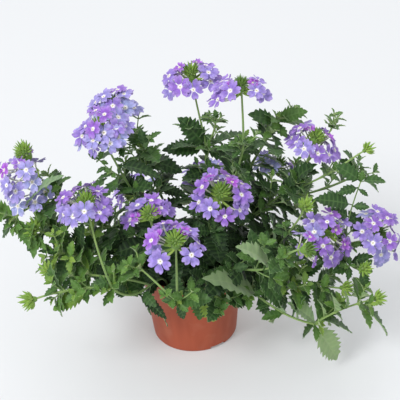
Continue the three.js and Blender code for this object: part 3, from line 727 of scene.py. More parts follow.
# %% [markdown]
# ## Which leaves the model kept
#
# The construction model turns, lifts or shortens a leaf until it is clear of the other stems, so the same
# tries are walked through here. The kept try is the one whose tip is a point of the plain solid. A tree of
# the solid's points finds that in no time, and no list of numbers has to be copied.

# %% Finding the leaves
LIFT = 26  # degrees that a leaf rises out of the level round its stem
STRAY = {"length": (0.88, 0.2), "turn": 20, "lift": 16}  # the least share of the length, and spreads
LEAF_TRIES = [(0, 0, 1), (18, 0, 1), (-18, 0, 1), (0, 18, 0.95), (36, 8, 0.9), (-36, 8, 0.9),
              (0, 34, 0.85), (60, 12, 0.8), (-60, 12, 0.8), (0, 50, 0.7)]  # more turn, more lift, share
TIP_SLACK = 0.2  # mm
ROLL = 0.45  # how far a leaf's face turns away from the plant's middle


def node_tree(node):
    """The points of a plain solid, in mm, in a tree that finds the nearest one to a place."""
    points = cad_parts[node].data.vertices
    tree = KDTree(len(points))
    for i, point in enumerate(points):
        tree.insert(point.co / MM, i)
    tree.balance()
    return tree


def find_leaf(leaf, number, tree):
    """The frame and length that the model kept for this leaf, or None."""
    least, more = STRAY["length"]
    for turn, lift, share in LEAF_TRIES:
        length = leaf["length"] * share * (least + more * draw(number, 1))
        angle = math.radians(leaf["turn"] + turn + STRAY["turn"] * (draw(number, 2) - 0.5))
        rise = math.radians(LIFT + lift + STRAY["lift"] * (draw(number, 3) - 0.5))
        place = leaf_frame(leaf["origin"], leaf["along"], angle, rise)
        tip = placed(np.array([[length, 0, -LEAF["droop"] * length]]), place)[0]
        if tree.find(Vector(tip))[2] < TIP_SLACK:
            return place, length
    return None


leaf_number = 0
for name, plan in PLANS.items():
    tree = node_tree("stem_" + name)
    plan["grown"] = []
    for leaf in plan["leaves"]:
        leaf_number += 1
        found = find_leaf(leaf, leaf_number, tree)
        if found:
            place = turned_out(found[0], ROLL)
            plan["grown"].append({**leaf, "place": place, "length": found[1], "number": leaf_number})
print("leaves found:", sum(len(plan["grown"]) for plan in PLANS.values()), "of", leaf_number)

# %% [markdown]
# ## More leaves than the model has
#
# The model holds only the large leaves. A real shoot has smaller pairs between them, set crosswise, and in
# every leaf's axil a short twig with crosswise pairs of its own. The tips end in small, bright young leaves.
# They are added by rule from the pairs in the table, and any that would reach into the pot's wall or the
# soil is left out. Their faces turn away from the plant's middle, as leaves on a bush do for light.

# %% Where small leaves can't be
POT_RIM = {"outer": 55.5, "inner": 49.0, "height": 88.0}
# Room that small leaves keep out of, in mm from low to high: the pot's front, and a gap beside its rim.
CLEAR_ROOM = np.array([[(-46, -200, 0), (46, -34, 84)], [(-56, -130, 78), (-25, -62, 126)]], float)


def in_pot(point):
    """Whether a point is in the pot's wall, in the soil or in room that is kept clear."""
    reach = math.hypot(point[0], point[1])
    if any((low < point).all() and (point < high).all() for low, high in CLEAR_ROOM):
        return True
    if reach < POT_RIM["inner"]:
        return point[2] < SOIL_TOP + 1
    return reach < POT_RIM["outer"] and point[2] < POT_RIM["height"]


for height in (60, 100):
    print("in the pot at a height of", height, "mm:", in_pot(np.array((0, 0, height))))

# %% [markdown]
# Two steps make all these leaves. One adds a pair, whose leaves each stray a little from the rule in size,
# turn and lift. The other adds a twig, a short rod that bends up to the light, and its pairs. Each leaf and
# twig has a number, and a few that would hide what should be seen are left out by number.

# %% Pairs and twigs
UP = np.array((0.0, 0.0, 1.0))
SMALL_STRAY = {"turn": 16, "lift": 10, "size": (0.8, 1.12), "age": 0.1}
TESTED = {"along": (0.4, 0.7, 1), "aside": (-0.25, 0, 0.25)}  # points of a leaf, in shares of its length
TWIG = {"share": 0.55, "size": (0.65, 1.25), "radius": 0.8, "lean": 46, "rise": 0.3}
TWIG_PAIRS = [(0.45, 0.48, 0, 24), (0.9, 0.4, 90, 36), (1.0, 0.24, 0, 60)]  # place, share, turn, lift
YOUNGER = 0.1  # by how much the leaves of a pair are younger than those of the pair before
# Leaves and twigs, by number, that would hide a head or a leaf over them.
LEFT_OUT = {10240, 30060, 30100, 30120, 30300, 30320, 60170, 60260, 60370, 150070, 150140, 150261, 150300,
            210110, 210240, 210271, 210300, 240130}


def add_pair(plan, points, at, length, turn, lift, number, age, curl=1.0):
    """Two opposite leaves that only the finished plant has. One that would be in the pot is left out."""
    for half in (0, 180):
        seed = number + half
        angle = math.radians(turn + half + stray_by(seed, 2, SMALL_STRAY["turn"]))
        rise = math.radians(lift + stray_by(seed, 3, SMALL_STRAY["lift"]))
        place = leaf_frame(curve_point(points, at), curve_heading(points, at), angle, rise)
        place = turned_out(place, 2 * ROLL)
        size = length * spread(seed, 1, *SMALL_STRAY["size"])
        outline = np.array([[along * size, aside * size, -LEAF["droop"] * curl * along * along * size]
                            for along in TESTED["along"] for aside in TESTED["aside"]])
        if seed not in LEFT_OUT and not any(in_pot(point) for point in placed(outline, place)):
            plan["extra"].append({"place": place, "length": size, "number": seed, "curl": curl,
                                  "age": age + stray_by(seed, 4, SMALL_STRAY["age"])})


def add_twig(plan, points, at, length, turn, number, age):
    """A short side shoot in the axil of a leaf."""
    origin = curve_point(points, at)
    lean = math.radians(TWIG["lean"])
    heading = leaf_frame(origin, curve_heading(points, at), math.radians(turn), lean)[0][:, 0]
    size = TWIG["share"] * length * spread(number, 21, *TWIG["size"])
    path = [origin + size * (s * heading + TWIG["rise"] * s * s * UP) for s in (0, 1 / 3, 2 / 3, 1)]
    if number in LEFT_OUT or any(in_pot(point) for point in path[1:]):
        return
    plan["twigs"].append({"points": path, "radius": TWIG["radius"], "carried": []})
    turned = spread(number, 22, 0, 90)
    for step, (place, share, twist, lift) in enumerate(TWIG_PAIRS):
        add_pair(plan, path, place, share * length, turned + twist, lift, number + step, age - YOUNGER * step)


print("pairs on a twig:", len(TWIG_PAIRS), "numbers left out:", len(LEFT_OUT))

# %% [markdown]
# Now each stem is filled out. Near the soil it gets two old pairs, between the large pairs crosswise ones,
# and in the axil of each large leaf a twig. A shoot that ends in leaves gets three pairs at its tip, each
# smaller, steeper and younger than the last. Leaves low on a stem are older than those above them.

# %% Filling out the stems
# How old the leaves of each stem are on the whole, from 0 for young to 1 for old.
STEM_AGE = {
    "left_tall": 0.75, "left_inner": 0.7, "centre_tall": 0.7, "right_tall": 0.75, "far_left": 0.6,
    "low_left": 0.58, "front_left": 0.75, "front": 0.62, "centre": 0.85, "right_high": 0.62, "right": 0.75,
    "right_front": 0.68, "far_right": 0.7, "back_right": 0.85, "low_right": 0.5, "front_low": 0.66,
    "side_low": 0.4, "back_left": 0.8, "back": 0.8, "low_back_left": 0.7, "low_back_right": 0.75,
    "left_spread": 0.45, "right_spread": 0.6, "back_tall": 0.65,
}
# share is of a large pair's length, and first is of the way up to the lowest large pair.
CROSSWISE = {"share": 0.74, "lift": 20, "curl": 1.25, "first": 0.6, "older": 0.1}
BASE_PAIRS = [(0.1, 27, 0, 12), (0.2, 31, 80, 14)]  # old leaves near the soil: place, length, turn, lift
BASE_OLDER = 0.2
TWIG_YOUNGER = 0.15
TIP_PAIRS = [(1.0, 17, 45, 26), (1.0, 12, 135, 46), (1.0, 7.5, 45, 64)]  # place, length, turn, lift
TIP_YOUNGER = 0.3
NUMBERS = {"stem": 10000, "step": 10}  # a stem's first number, and the step from pair to pair


def pairs_between(rod):
    """Places of crosswise pairs: one under the lowest large pair of a main stem, and one in each gap."""
    pairs = rod["carried"]
    places = []
    if pairs and rod["depth"] == 0:
        at, length, turn = pairs[0]
        places.append((at * CROSSWISE["first"], length, turn))
    return places + [((a[0] + b[0]) / 2, (a[1] + b[1]) / 2, b[2]) for a, b in zip(pairs, pairs[1:])]


def fill_out(name, plan):
    """All pairs and twigs that the finished plant has on one stem and not the model."""
    plan["extra"], plan["twigs"] = [], []
    number = NUMBERS["stem"] * (1 + list(PLANS).index(name))
    age = STEM_AGE[name]
    for rod in plan["rods"]:
        points = rod["points"]
        if rod["depth"] == 0:
            for at, length, turn, lift in BASE_PAIRS:
                number += NUMBERS["step"]
                add_pair(plan, points, at, length, turn + number % 180, lift, number, age + BASE_OLDER)
        for at, length, turn in pairs_between(rod):
            number += NUMBERS["step"]
            add_pair(plan, points, at, CROSSWISE["share"] * length, turn + 90, CROSSWISE["lift"], number,
                     age + CROSSWISE["older"], CROSSWISE["curl"])
        for at, length, turn in rod["carried"]:
            for half in (0, 180):
                number += NUMBERS["step"]
                add_twig(plan, points, at, length, turn + half, number, age - TWIG_YOUNGER)
        if rod["ends"] == "leaves":
            for step, (at, length, turn, lift) in enumerate(TIP_PAIRS):
                number += NUMBERS["step"]
                add_pair(plan, points, at, length, turn, lift, number, age - TIP_YOUNGER - YOUNGER * step)


for name, plan in PLANS.items():
    fill_out(name, plan)
print("twigs:", sum(len(plan["twigs"]) for plan in PLANS.values()),
      "small leaves:", sum(len(plan["extra"]) for plan in PLANS.values()))

# %% [markdown]
# ## Leaves that are placed one by one
#
# The rules fill the bush, but the leaves that lie over all others give it its face, so they are chosen one
# by one. A place in space is hard to choose, and a place in the camera's picture is easy. So each
# tip is given as it is seen, with how far behind the leaf's foot it lies. The line of sight through that
# place, followed to that depth, gives the point in space.

# %% From the camera's picture to the plant
PICTURE = 400  # units across the camera's picture, in which the places below are given
LOOKS = {"camera": (0, -0.6, 0.8), "between": (0, -0.4, 0.9), "sky": (0, -0.2, 1)}
TO_CAMERA = np.array((0, -0.85, 0.53))
EDGE_LEAN = 0.25  # how far a leaf that is seen on its edge still looks to the camera


def seen_at(across, down, y):
    """The point, in mm, that the camera sees at a place in its picture, at the depth y."""
    tilt, roll = math.radians(CAMERA["down"]), math.radians(CAMERA["roll"])
    ahead = np.array((0, math.cos(tilt), -math.sin(tilt)))
    level, over = np.array((1.0, 0, 0)), np.array((0, math.sin(tilt), math.cos(tilt)))
    right = level * math.cos(roll) + over * math.sin(roll)
    up = over * math.cos(roll) - level * math.sin(roll)
    half = math.tan(math.radians(CAMERA["view"] / 2))
    ray = ahead + half * (right * (2 * across / PICTURE - 1) + up * (1 - 2 * down / PICTURE))
    eye = np.array(CAMERA["place"], float)
    return eye + ray * (y - eye[1]) / ray[1]


def reach_to(seen, start):
    """The way, in mm, from a shoot's point to a place as it is seen."""
    across, down, behind = seen
    return seen_at(across, down, start[1] + behind) - start


def look_of(kind, reach):
    """The way a leaf's face looks. A leaf seen on its edge looks across the line of sight."""
    if kind != "edge":
        return np.array(LOOKS[kind], float)
    across = np.cross(TO_CAMERA, unit(reach))
    return np.round(unit(across * np.sign(across[2]) + EDGE_LEAN * TO_CAMERA), 1)


print("the picture's middle shows the point", seen_at(PICTURE / 2, PICTURE / 2, 0).round(), "mm")

# %% [markdown]
# Two slender shoots at the sides are there only to carry some of these leaves. The others grow on stems and
# shoots of the table above. Each leaf starts on its stem and is turned so that its tip comes near the place
# that is given. It aims a little high, because its blade droops on the way.

# %% Placing them
# Shoots that only the finished plant has: rod, place, two bends and the end. A bend or end is given as it is
# seen: across and down the camera's picture, and how far behind the shoot's foot it lies, in mm.
OUTER_SHOOTS = {
    "far_right": (0, 0.8, (345, 222, -2), (353, 202, 2), (361, 181, 4)),
    "left_inner": (0, 0.72, (118, 176, -2), (108, 170, -4), (99, 160, -4)),
}
# Single leaves that lie over the others: stem, rod (-1 is its outer shoot), place, the tip as it is seen,
# the way the face looks, age, whether it is an old one with a pale felt of hairs, and its width if not 1.
OUTER_LEAVES = [
    ("low_right", 0, 0.60, (208, 277, -34), "between", 0.5, 1, 0.62),
    ("right_front", 0, 0.86, (240, 246, -22), "between", 0.6, 1, 0.7),
    ("low_right", 0, 0.99, (290, 303, 2), "sky", 0.7, 1),
    ("low_right", 0, 0.60, (268, 315, -8), "camera", 0.6, 0),
    ("low_right", 0, 0.88, (291, 297, -6), "sky", 0.8, 0),
    ("low_right", 1, 0.72, (388, 333, 0), "edge", 0.55, 0),
    ("front_low", 0, 0.45, (199, 319, -14), "camera", 0.3, 0),
    ("low_right", 0, 0.99, (302, 337, 6), "sky", 0.75, 0),
    ("low_right", 0, 0.97, (338, 359, 4), "camera", 0.45, 1, 0.78),
    ("low_right", 0, 0.80, (262, 318, -4), "sky", 0.5, 0),
    ("low_right", 1, 0.12, (352, 331, 5), "edge", 0.6, 0),
    ("front_low", 0, 0.60, (214, 321, -12), "camera", -0.25, 0, 1.15),
    ("low_left", 0, 0.66, (169, 324, 2), "edge", 0.7, 0, 0.55),
    ("front", 0, 0.97, (184, 319, -2), "camera", 0.8, 0, 0.8),
    ("back_tall", 0, 0.98, (250, 114, -6), "camera", 0.6, 0),
    ("back_tall", 0, 0.99, (306, 111, -4), "camera", 0.45, 0),
    ("back_tall", 0, 0.97, (287, 136, -12), "camera", 0.5, 0),
    ("back_tall", 0, 0.80, (243, 150, -14), "camera", 0.8, 0),
    ("centre_tall", 0, 0.98, (164, 149, -8), "camera", 0.8, 0, 0.8),
    ("centre_tall", 0, 1.0, (181, 119, -4), "camera", 0.75, 0),
    ("centre_tall", 0, 0.97, (231, 157, -10), "camera", 0.8, 0),
    ("centre_tall", 0, 0.80, (186, 176, -14), "camera", 0.85, 0),
    ("low_back_right", 0, 0.99, (341, 160, 4), "camera", 0.6, 0),
    ("right_high", 0, 0.68, (314, 164, -6), "sky", 0.85, 0),
    ("far_right", 1, 0.45, (372, 256, -4), "sky", 0.8, 0),
    ("far_right", 1, 0.85, (366, 286, -3), "camera", 0.75, 0),
    ("far_right", 0, 0.90, (350, 212, 10), "sky", 0.8, 0),
    ("right_spread", 0, 0.62, (262, 300, -14), "camera", 0.75, 0),
    ("right_spread", 0, 0.75, (300, 312, -12), "camera", 0.8, 0),
    ("right_spread", 0, 0.85, (318, 300, -10), "camera", 0.6, 0),
    ("left_spread", 0, 0.86, (36, 270, -4), "edge", 0.6, 0),
    ("left_spread", 0, 0.92, (56, 287, -8), "camera", 0.72, 0),
    ("left_spread", 0, 0.75, (72, 289, -10), "camera", 0.8, 0),
    ("left_spread", 0, 0.62, (108, 285, -12), "camera", 0.85, 0),
    ("left_spread", 0, 0.80, (82, 225, -4), "sky", 0.85, 0),
    ("far_left", 1, 0.35, (55, 250, -4), "camera", 0.85, 0),
    ("far_left", 0, 0.36, (96, 248, -10), "camera", 0.9, 0),
    ("left_spread", 0, 0.48, (104, 238, -8), "camera", 0.9, 0),
    ("left_spread", 0, 0.68, (75, 238, -6), "sky", 0.9, 0),
    ("left_spread", 0, 0.35, (121, 232, -8), "camera", 0.9, 0),
    ("low_left", 2, 0.45, (106, 262, -6), "sky", 0.8, 0),
    ("low_left", 1, 0.12, (90, 288, -6), "camera", 0.6, 0),
    ("low_left", 3, 0.62, (68, 280, 8), "camera", 0.7, 0),
    ("left_spread", 0, 0.78, (74, 247, -10), "camera", 0.85, 0, 0.9),
    ("left_spread", 0, 0.55, (108, 262, -10), "camera", 0.9, 0),
    ("left_spread", 0, 1.0, (40, 250, 0), "sky", 0.7, 0, 0.8),
    ("far_left", 0, 0.8, (58, 178, -6), "sky", 0.6, 0, 0.7),
    ("far_left", 2, 0.9, (2, 236, 0), "sky", 0.8, 0),
    ("right_high", 0, 0.62, (303, 180, -10), "camera", 0.85, 0),
    ("right_high", 0, 0.80, (318, 172, -8), "sky", 0.75, 0),
    ("low_right", 0, 0.70, (256, 309, -6), "sky", 0.7, 0, 0.8),
    ("low_right", 0, 0.85, (303, 297, -4), "edge", 0.7, 0, 0.8),
    ("low_left", 3, 0.28, (54, 309, -4), "camera", 0.2, 0, 0.8),
    ("low_left", 3, 0.60, (56, 306, 6), "edge", 0.7, 0),
    ("left_inner", 0, 0.80, (160, 176, -6), "sky", 0.9, 0, 0.7),
    ("low_left", 0, 0.20, (141, 280, -4), "camera", 0.9, 0, 0.9),
    ("low_left", 0, 0.30, (146, 296, -8), "camera", 0.9, 0, 0.8),
    ("low_left", 0, 0.45, (143, 271, -4), "camera", 0.8, 0, 0.8),
    ("low_left", 0, 0.50, (149, 314, -4), "edge", 0.7, 0, 0.9),
    ("low_left", 0, 0.70, (166, 318, -4), "camera", 0.85, 0, 0.5),
    ("far_left", 2, 0.80, (59, 174, -26), "sky", 1.1, 1, 0.5),
    ("centre_tall", 1, 0.42, (210, 114, -6), "camera", 0.8, 0, 0.9),
    ("centre_tall", 1, 0.20, (214, 139, -6), "camera", 0.8, 0, 0.9),
    ("centre_tall", 1, 0.30, (194, 127, -4), "sky", 0.7, 0, 0.9),
    ("left_tall", 0, 0.70, (181, 171, -8), "camera", 0.85, 0, 0.8),
    ("left_tall", 0, 0.50, (186, 196, -10), "camera", 0.9, 0, 0.7),
    ("left_tall", 0, 0.40, (184, 208, -10), "sky", 0.9, 0, 0.7),
    ("far_right", -1, 0.62, (316, 199, -4), "camera", 0.8, 0, 0.85),
    ("far_right", -1, 0.60, (369, 207, -6), "camera", 0.8, 0),
    ("far_right", -1, 0.42, (332, 209, -4), "camera", 0.75, 0),
    ("far_right", -1, 0.90, (338, 193, -4), "camera", 0.75, 0, 0.9),
    ("far_right", -1, 0.88, (368, 196, -4), "camera", 0.75, 0, 0.8),
    ("far_right", -1, 1.0, (337, 166, 0), "camera", 0.65, 0),
    ("far_right", -1, 1.0, (385, 181, -2), "sky", 0.6, 0),
    ("far_right", -1, 1.0, (362, 172, -2), "camera", 0.4, 0),
    ("left_inner", -1, 1.0, (103, 151, -2), "camera", 0.45, 0),
    ("left_inner", -1, 1.0, (89, 154, 0), "camera", 0.55, 0),
    ("left_inner", -1, 0.95, (108, 164, -4), "camera", 0.5, 0),
    ("left_inner", -1, 0.75, (97, 173, -4), "camera", 0.6, 0, 0.8),
    ("left_inner", -1, 0.40, (98, 178, -2), "sky", 0.6, 0, 0.7),
    ("far_right", 0, 0.86, (372, 247, -8), "camera", 0.85, 0, 0.9),
    ("left_spread", 0, 0.70, (97, 281, -8), "camera", 0.85, 0, 0.9),
    ("far_left", 1, 0.78, (27, 250, -4), "camera", 0.8, 0),
    ("right", 0, 0.62, (258, 262, -10), "camera", 0.85, 0),
    ("right", 0, 0.80, (290, 258, -10), "camera", 0.85, 0),
]
AIM_HIGH = 0.8  # the share of its droop by which a leaf aims over the place of its tip
OUTER_NUMBERS = {"first": 777, "step": 13}


def leaf_towards(start, reach, look):
    """The frame of a leaf that reaches from its start to its tip, with its face turned to look."""
    ahead = unit(reach)
    face = unit(look - ahead * ahead.dot(look))
    ahead = unit(ahead + AIM_HIGH * LEAF["droop"] * face)
    face = unit(face - ahead * ahead.dot(face))
    return np.stack([ahead, np.cross(face, ahead), face], 1), start


for name, (rod, at, *bends) in OUTER_SHOOTS.items():
    start = curve_point(PLANS[name]["rods"][rod]["points"], at)
    points = [start] + [start + np.round(reach_to(bend, start)) for bend in bends]
    PLANS[name]["twigs"].append({"points": points, "radius": TWIG["radius"], "carried": []})
for i, (name, rod, at, tip, kind, age, felted, *width) in enumerate(OUTER_LEAVES):
    carrier = PLANS[name]["twigs" if rod < 0 else "rods"][rod]
    start = curve_point(carrier["points"], at)
    reach = reach_to(tip, start)
    place = leaf_towards(start, np.round(reach), look_of(kind, reach))
    PLANS[name]["extra"].append({"place": place, "length": np.linalg.norm(np.round(reach)), "age": age,
                                 "number": OUTER_NUMBERS["first"] + OUTER_NUMBERS["step"] * i,
                                 "felted": felted, "width": width[0] if width else 1.0})
print("shoots placed:", len(OUTER_SHOOTS), "leaves placed:", len(OUTER_LEAVES))

# %% [markdown]
# ## Buds and tufts
#
# The middle of a flower head is a tuft of green calyces, each a slender spindle with a sharp tip. Those of
# the open florets lie round the foot of their tubes, and the rest still hold buds. A sunflower's golden
# angle spreads them evenly with no two in line, as they grow. A shoot's bud head is a smaller cup of broader
# bracts that lean together. Bud heads differ in size, since they are of different ages.

# %% Buds
GOLDEN = math.radians(137.508)
SPINDLE = {"along": (0, 0.2, 0.45, 0.7, 0.9, 1), "girth": (0.6, 0.95, 1.0, 0.72, 0.36, 0.06), "sides": 6,
           "older": 0.5}  # by how much a bud's tip looks older than its foot
# The core's span is in radii along the stalk, and foot and closing say how round its ends are.
CORE = {"span": (-1.6, 1.1), "foot": 0.25, "closing": 0.97, "rings": 6, "sides": 8, "age": 0.85}
GIRTH_STRAY = (0.85, 1.15)
# Millimetres for core, length, girth and seat, and degrees from the stalk's axis for bottom, the lowest bud.
TUFT = {"core": 5.0, "count": 46, "length": (4.3, 6.8), "girth": 0.88, "bottom": 98, "seat": 4.2,
        "lean": 0.35, "size": (0.95, 1.05), "age": (0.1, 0.5)}
SPENT_TUFT = {**TUFT, "size": (0.8, 0.88), "age": (0.55, 1.0)}  # of heads that are nearly over
SPENT = {"right_tall", "right_front", "far_right", "back_right"}
BUDS = {"core": 2.6, "count": 28, "length": (5.5, 8.5), "girth": 1.25, "bottom": 104, "seat": 1.8,
        "lean": 0.5, "size": (0.75, 1.2), "age": (0.0, 0.3)}


def spindle(bunch, base, heading, lean, length, girth, skin, age):
    """One pointed bud, bent a little by lean."""
    along = np.array(SPINDLE["along"])[:, None]
    path = base + along * length * heading + along ** 2 * length * lean
    points, faces = sweep(path, np.array(SPINDLE["girth"]) * girth, SPINDLE["sides"])
    ages = age + SPINDLE["older"] * np.append(np.repeat(along.ravel(), SPINDLE["sides"]), [0, 1])
    bunch.add(points, faces, skin, ages)


def grow_core(bunch, axis, end, radius):
    """The round end of the stalk, that the buds sit on."""
    swell = np.sin(np.linspace(CORE["foot"], 1, CORE["rings"]) * np.pi * CORE["closing"])
    path = end + np.linspace(*CORE["span"], CORE["rings"])[:, None] * radius * axis
    points, faces = sweep(path, radius * swell, CORE["sides"])
    bunch.add(points, faces, BUD, CORE["age"])


def grow_tuft(bunch, tuft, style):
    """A core on the stalk's end and the buds that stand out of it."""
    axis, end, phase = tuft["axis"], tuft["end"], tuft["phase"]
    axes, _ = frame_along(axis, end)
    size = spread(phase, 3, *style["size"])
    grow_core(bunch, axis, end, size * style["core"])
    for i in range(style["count"]):
        polar = math.radians(style["bottom"]) * math.sqrt((i + 0.5) / style["count"])
        turn = i * GOLDEN + math.radians(phase)
        out = math.sin(polar)
        heading = axes @ np.array((out * math.cos(turn), out * math.sin(turn), math.cos(polar)))
        length = size * spread(phase, i, *style["length"])
        age = spread(phase, i + 60, *style["age"])
        girth = size * style["girth"] * spread(phase, i + 90, *GIRTH_STRAY)
        base = end + size * style["seat"] * heading
        spindle(bunch, base, heading, style["lean"] * axis, length, girth, BUD, age)


print("buds in a tuft:", TUFT["count"], "and in a bud head:", BUDS["count"])

# %% [markdown]
# ## Florets
#
# A floret has five petals, each narrow at the throat and broad and notched at its end, with clear gaps
# between them, on a slender tube. Every petal is a sheet of its own with a small turn, a bend and a wave of
# its own. The tube leaves its green calyx near the stalk and curves out to the face.

# %% Petals
PETAL_ROWS = np.array((0, 0.2, 0.42, 0.64, 0.84, 1.0))[:, None]
PETAL_COLUMNS = np.array((-1, -0.72, -0.38, 0, 0.38, 0.72, 1))[None, :]
PETAL = {"count": 5, "throat": 0.8, "claw": 0.07, "breadth": 0.275, "notch": 0.2, "corner": 0.24,
         "thickness": 0.28, "twist": 0.1, "reflex": 0.12, "cup": 0.3, "funnel": 0.9, "wave": 0.75}
PETAL_STRAY = {"size": (0.9, 1.06), "bend": (-2.2, 2.6), "twist": 0.3, "turn": 0.09}


def petal_surface(radius, number):
    """One petal in the floret's frame, along X."""
    t, v = PETAL_ROWS, PETAL_COLUMNS
    radius *= spread(number, 1, *PETAL_STRAY["size"])
    notch = PETAL["notch"] * np.maximum(0, 1 - np.abs(v) / 0.6)
    corner = PETAL["corner"] * np.maximum(0, (np.abs(v) - 0.45) / 0.55) ** 1.5
    end = radius * (1 - notch - corner)
    x = PETAL["throat"] + t * (end - PETAL["throat"])
    half = radius * (PETAL["claw"] + PETAL["breadth"] * np.sin(np.minimum(1, t / 0.8) * np.pi / 2) ** 1.7)
    y = v * half * np.where(t > 0.95, 0.9, 1.0)
    bend = PETAL["reflex"] * spread(number, 2, *PETAL_STRAY["bend"])
    z = -bend * x * x / radius + (PETAL["twist"] + PETAL_STRAY["twist"] * (draw(number, 3) - 0.5)) * y
    z = z - PETAL["cup"] * (1 - v ** 2) * np.sin(np.pi * t) - PETAL["funnel"] * (1 - t) ** 3
    z = z + PETAL["wave"] * t ** 2 * np.sin(3.5 * v + 6.3 * draw(number, 4))
    face = np.stack([x, y, z], -1).reshape(-1, 3)
    back = face - (0, 0, PETAL["thickness"])
    return np.concatenate([face, back]), np.tile((x / radius).ravel(), 2)


print("points on a petal:", len(petal_surface(11, 1)[0]))

# %% [markdown]
# The tube and the calyx follow one curve from the stalk to the middle of the face. The calyx is a green
# sleeve round the tube's foot, so it belongs to the stem's piece, and a small plug closes the throat.

# %% Florets
TUBE_GIRTH = (0.6, 0.62, 0.65, 0.7, 0.78, 0.95, 1.15)
CALYX = {"length": 9, "girth": (0.7, 1.1, 1.2, 1.15, 1.1, 0.85), "most": 0.42}
PLUG = {"along": (-0.3, 0.1, 0.35), "girth": (0.5, 0.8, 0.1)}
TUBE_SIDES = 6


def tube_path(foot, inner, outward, share, rings):
    """Points of the curve from the foot towards the face, which it meets straight on, up to a share of it."""
    middle = inner - 0.5 * np.linalg.norm(inner - foot) * outward
    s = np.linspace(0, share, rings)[:, None]
    return foot * (1 - s) ** 2 + 2 * middle * s * (1 - s) + inner * s * s


def grow_petals(violet, axes, face, radius, age, number):
    front, under = sheet_faces(PETAL_ROWS.size, PETAL_COLUMNS.size)
    skins = np.concatenate([np.full(len(front), FACE), np.full(len(under), BACK)])
    spin = 2 * np.pi * draw(number, 9)
    for k in range(PETAL["count"]):
        turn = spin + 2 * np.pi * k / PETAL["count"] + stray_by(number, 20 + k, PETAL_STRAY["turn"])
        points, marks = petal_surface(radius, 7 * number + k)
        turned = points @ np.array(Matrix.Rotation(turn, 3, "Z")).T
        violet.add(turned @ axes.T + face, np.concatenate([front, under]), skins, age, marks)


def grow_floret(violet, green, face, outward, foot, radius, age, number):
    """One floret with its tube, and its calyx on the green bunch."""
    grow_petals(violet, frame_along(outward, face)[0], face, radius, age, number)
    inner = face - PETAL["funnel"] * outward
    points, faces = sweep(inner + np.outer(PLUG["along"], outward), PLUG["girth"], TUBE_SIDES)
    violet.add(points, faces, EYE, 0.5)
    path = tube_path(foot, inner, outward, 1, len(TUBE_GIRTH))
    points, faces = sweep(path, TUBE_GIRTH, TUBE_SIDES)
    violet.add(points, faces, TUBE, age)
    share = min(CALYX["most"], CALYX["length"] / np.linalg.norm(inner - foot))
    path = tube_path(foot, inner, outward, share, len(CALYX["girth"]))
    points, faces = sweep(path, CALYX["girth"], TUBE_SIDES)
    green.add(points, faces, BUD, 0.1 + 0.4 * draw(number, 12))


print("rings of a tube:", len(TUBE_GIRTH), "and of a calyx:", len(CALYX["girth"]))

# %% [markdown]
# A head opens from the outside in. The lowest ring of florets is the oldest, and one or two half-open ones,
# deeper in colour, stand near the top round the tuft of buds. In an old head the florets hang lower. Heads
# open and fade unevenly, so many of them are bare of upper florets on one side, and the tuft shows there.

# %% Flower heads
COLLAR_BELOW = {"young": 7, "old": 17}  # mm under the middle of the tuft, where the tubes meet
FLORET_RADIUS = (10.6, 12.2)
LIGHT = np.array((-0.25, -0.55, 0.8))  # the way the florets turn
# Each ring: florets, degrees from the stalk's axis, reach, size, and how far down the stalk it stands.
RINGS = {
    "open": [(9, 92, 21.5, 1.0, 0), (7, 64, 21.0, 0.95, 0), (2, 40, 17.5, 0.6, 0)],
    "full": [(9, 94, 21.5, 1.0, 0), (8, 66, 21.5, 0.97, 0), (4, 34, 20.5, 0.85, 0)],
    "old": [(8, 104, 22.5, 1.0, 20), (8, 92, 23.0, 1.0, 8), (6, 76, 22.0, 0.95, -1), (3, 52, 18.0, 0.75, -2)],
}
# Each head: its form, its age, and a side, in degrees from +X, on which each ring is bare for so many
# degrees either way. The front is at -90.
HEADS = {
    "left_tall": ("full", 0.72, -90, (0, 0, 0)), "left_inner": ("full", 0.66, 90, (0, 40, 0)),
    "centre_tall": ("open", 0.5, -90, (0, 50, 0)), "right_tall": ("open", 0.5, -75, (50, 20, 0)),
    "far_left": ("old", 0.8, 10, (40, 55, 60, 0)), "low_left": ("open", 0.45, -80, (0, 70, 0)),
    "front_left": ("open", 0.45, -85, (88, 80, 0)), "front": ("open", 0.45, -66, (20, 58, 0)),
    "centre": ("open", 0.4, -90, (0, 65, 0)), "right_high": ("open", 0.5, -90, (0, 65, 0)),
    "right": ("open", 0.45, -90, (0, 40, 0)), "right_front": ("open", 0.6, -160, (120, 130, 0)),
    "far_right": ("full", 0.6, -90, (20, 45, 0)), "back_right": ("open", 0.9, -90, (30, 80, 0)),
    "back_left": ("open", 0.6, 90, (0, 0, 0)), "back": ("full", 0.6, 90, (0, 0, 0)),
}
# Heads whose florets hang to one side, or are pushed there by leaves: how far, in mm, and how wide they open.
HANG = {
    "left_tall": ((-1, 0, 0), 1.0), "left_inner": ((2, 0, 2), 0.95), "centre_tall": ((-1, 0, 0), 1.03),
    "right_tall": ((-3, 0, -3), 1.0), "far_left": ((-12, -4, -3), 0.95), "low_left": ((-4, 0, 3), 0.95),
    "front_left": ((-2, 0, -3), 0.92), "front": ((-2, 0, 2), 1.0), "centre": ((1, 0, 2), 1.08),
    "right": ((2, -2, -4), 1.05), "far_right": ((3, 0, -1), 1.15), "back_right": ((2, -10, 6), 1.05),
}
HEAD_STRAY = {"turn": 0.22, "tilt": 11, "reach": 2.5, "aside": 0.35, "age": 0.2}
FACING = {"out": 0.75, "axis": (0.2, 0.5), "light": (0.3, 0.7)}  # how strongly each turns a floret's face
COLLAR = {"radius": 1.6, "low": 2.5}  # mm: where tubes start round the stalk, and how far apart rings do
# Each ring outward is older. Florets smaller than the share in small are half open and so much younger.
AGEING = {"ring": 0.14, "half_open": 0.3, "small": 0.8}


